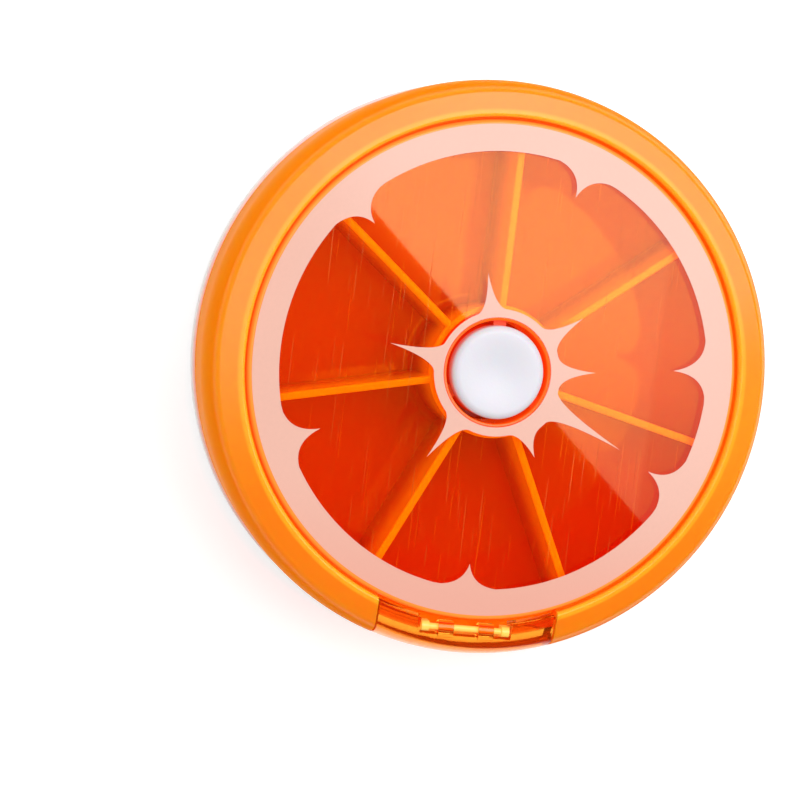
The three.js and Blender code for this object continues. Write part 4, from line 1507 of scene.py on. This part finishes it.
def sky_finish(settings):
    """White where it is seen, plain light for matt faces, and darker overhead in reflections."""
    world = bpy.data.worlds.new("studio")
    bpy.context.scene.world = world
    graph = Graph(world)
    height = graph.axes(graph.add("ShaderNodeTexCoord", output=0))[2]
    overhead = graph.between(height, *settings.sky_edge)
    reflected = settings.sky_low - overhead * (settings.sky_low - settings.sky_high)
    mirrored = graph.ray("Glossy")
    level = graph.add("ShaderNodeMix", inputs={0: mirrored, 2: settings.sky, 3: reflected})
    shown = graph.ray("Camera", "Transmission")
    level = graph.add("ShaderNodeMix", inputs={0: shown, 2: level, 3: 1.0})
    shader = graph.add("ShaderNodeBackground", inputs={"Color": (1, 1, 1, 1), "Strength": level})
    graph.finish(shader, "ShaderNodeOutputWorld")


def scrim_finish(settings):
    """Grey net that is clear over most of the softbox and denser to the right and low down."""
    made, graph = material("grey_scrim")
    across, depth, _ = graph.axes()
    fall = graph.between(depth, settings.scrim_start, -settings.scrim_fall)
    step = graph.between(across, 0, settings.scrim_step)
    share = fall * (1 - settings.scrim_step_share) + step * settings.scrim_step_share
    clear_part = graph.add("ShaderNodeBsdfTransparent")
    dense_part = graph.add("ShaderNodeBsdfTransparent", inputs={0: opaque(settings.scrim)})
    graph.finish(graph.blend(share, clear_part, dense_part))
    return made


def sheet(name, size, finish):
    """A level square that belongs to the studio."""
    bm = bmesh.new()
    bmesh.ops.create_grid(bm, x_segments=1, y_segments=1, size=size / 2)
    made = bpy.data.objects.new(name, mesh_of(bm, name))
    made.data.materials.append(finish)
    bpy.context.scene.collection.objects.link(made)
    return made


def panel(name, size, power, place, turn=0.0):
    """A lamp that faces down."""
    lamp = bpy.data.lights.new(name, "AREA")
    lamp.shape = "RECTANGLE"
    lamp.size, lamp.size_y = size
    lamp.energy = power
    made = bpy.data.objects.new(name, lamp)
    bpy.context.scene.collection.objects.link(made)
    made.matrix_world = Matrix.Translation(place) @ Matrix.Rotation(turn, 4, "Z")
    return made


class PILLBOX_OT_stage(bpy.types.Operator):
    """Set up the pale floor, the soft lamps and the camera"""

    bl_idname = "pillbox.stage"
    bl_label = "Stage"

    def execute(self, context):
        settings = group("studio")
        floor = sheet("floor", settings.floor_size, floor_finish(settings))
        floor.location.z = -settings.floor_drop
        scrim = sheet("scrim", settings.scrim_size, scrim_finish(settings))
        scrim.location = settings.scrim_place
        sky_finish(settings)
        key = (settings.key_width, settings.key_depth)
        panel("key_softbox", key, settings.key_power, settings.key_place, settings.key_turn)
        fill = (settings.fill_size, settings.fill_size)
        panel("fill_panel", fill, settings.fill_power, settings.fill_place)
        self.set_camera(context.scene, settings)
        context.scene.view_settings.view_transform = "Standard"
        return {"FINISHED"}

    def set_camera(self, scene, settings):
        data = bpy.data.cameras.new("camera")
        data.sensor_width = 36.0
        data.lens = settings.camera_lens
        data.clip_start = 0.01
        camera = bpy.data.objects.new("camera", data)
        scene.collection.objects.link(camera)
        forward = Vector(settings.camera_forward).normalized()
        right = forward.cross(Vector(settings.camera_up)).normalized()
        turn = Matrix((right, right.cross(forward), -forward)).transposed().to_4x4()
        camera.matrix_world = Matrix.Translation(settings.camera_place) @ turn
        scene.camera = camera


OPERATORS = (
    PILLBOX_OT_cover,
    PILLBOX_OT_wheel,
    PILLBOX_OT_mechanism,
    PILLBOX_OT_shell,
    PILLBOX_OT_flap,
    PILLBOX_OT_window,
    PILLBOX_OT_prints,
    PILLBOX_OT_button,
    PILLBOX_OT_stage,
)

GROUPS = {
    "shell": ShellSizes,
    "lens": LensSizes,
    "print": PrintSizes,
    "door": DoorSizes,
    "cover": CoverSizes,
    "button": ButtonSizes,
    "wheel": WheelSizes,
    "finishes": Finishes,
    "studio": StudioSettings,
}


class PILLBOX_PT_panel(bpy.types.Panel):
    """Makes the pieces, and shows their sizes and colours"""

    bl_idname = "PILLBOX_PT_panel"
    bl_label = "Round pill box"
    bl_space_type = "VIEW_3D"
    bl_region_type = "UI"
    bl_category = "Pill Box"

    def draw(self, context):
        for operator in OPERATORS:
            self.layout.operator(operator.bl_idname)
        for name in GROUPS:
            box = self.layout.box()
            for key in GROUPS[name].__annotations__:
                box.prop(group(name), key)


CLASSES = (*GROUPS.values(), *OPERATORS, PILLBOX_PT_panel)


def register():
    for made in CLASSES:
        bpy.utils.register_class(made)
    for name, made in GROUPS.items():
        setattr(bpy.types.Scene, PREFIX + name, PointerProperty(type=made))


def unregister():
    for name in GROUPS:
        delattr(bpy.types.Scene, PREFIX + name)
    for made in reversed(CLASSES):
        bpy.utils.unregister_class(made)


def main():
    register()
    for operator in OPERATORS:
        category, name = operator.bl_idname.split(".")
        getattr(getattr(bpy.ops, category), name)()


if __name__ == "__main__":
    main()
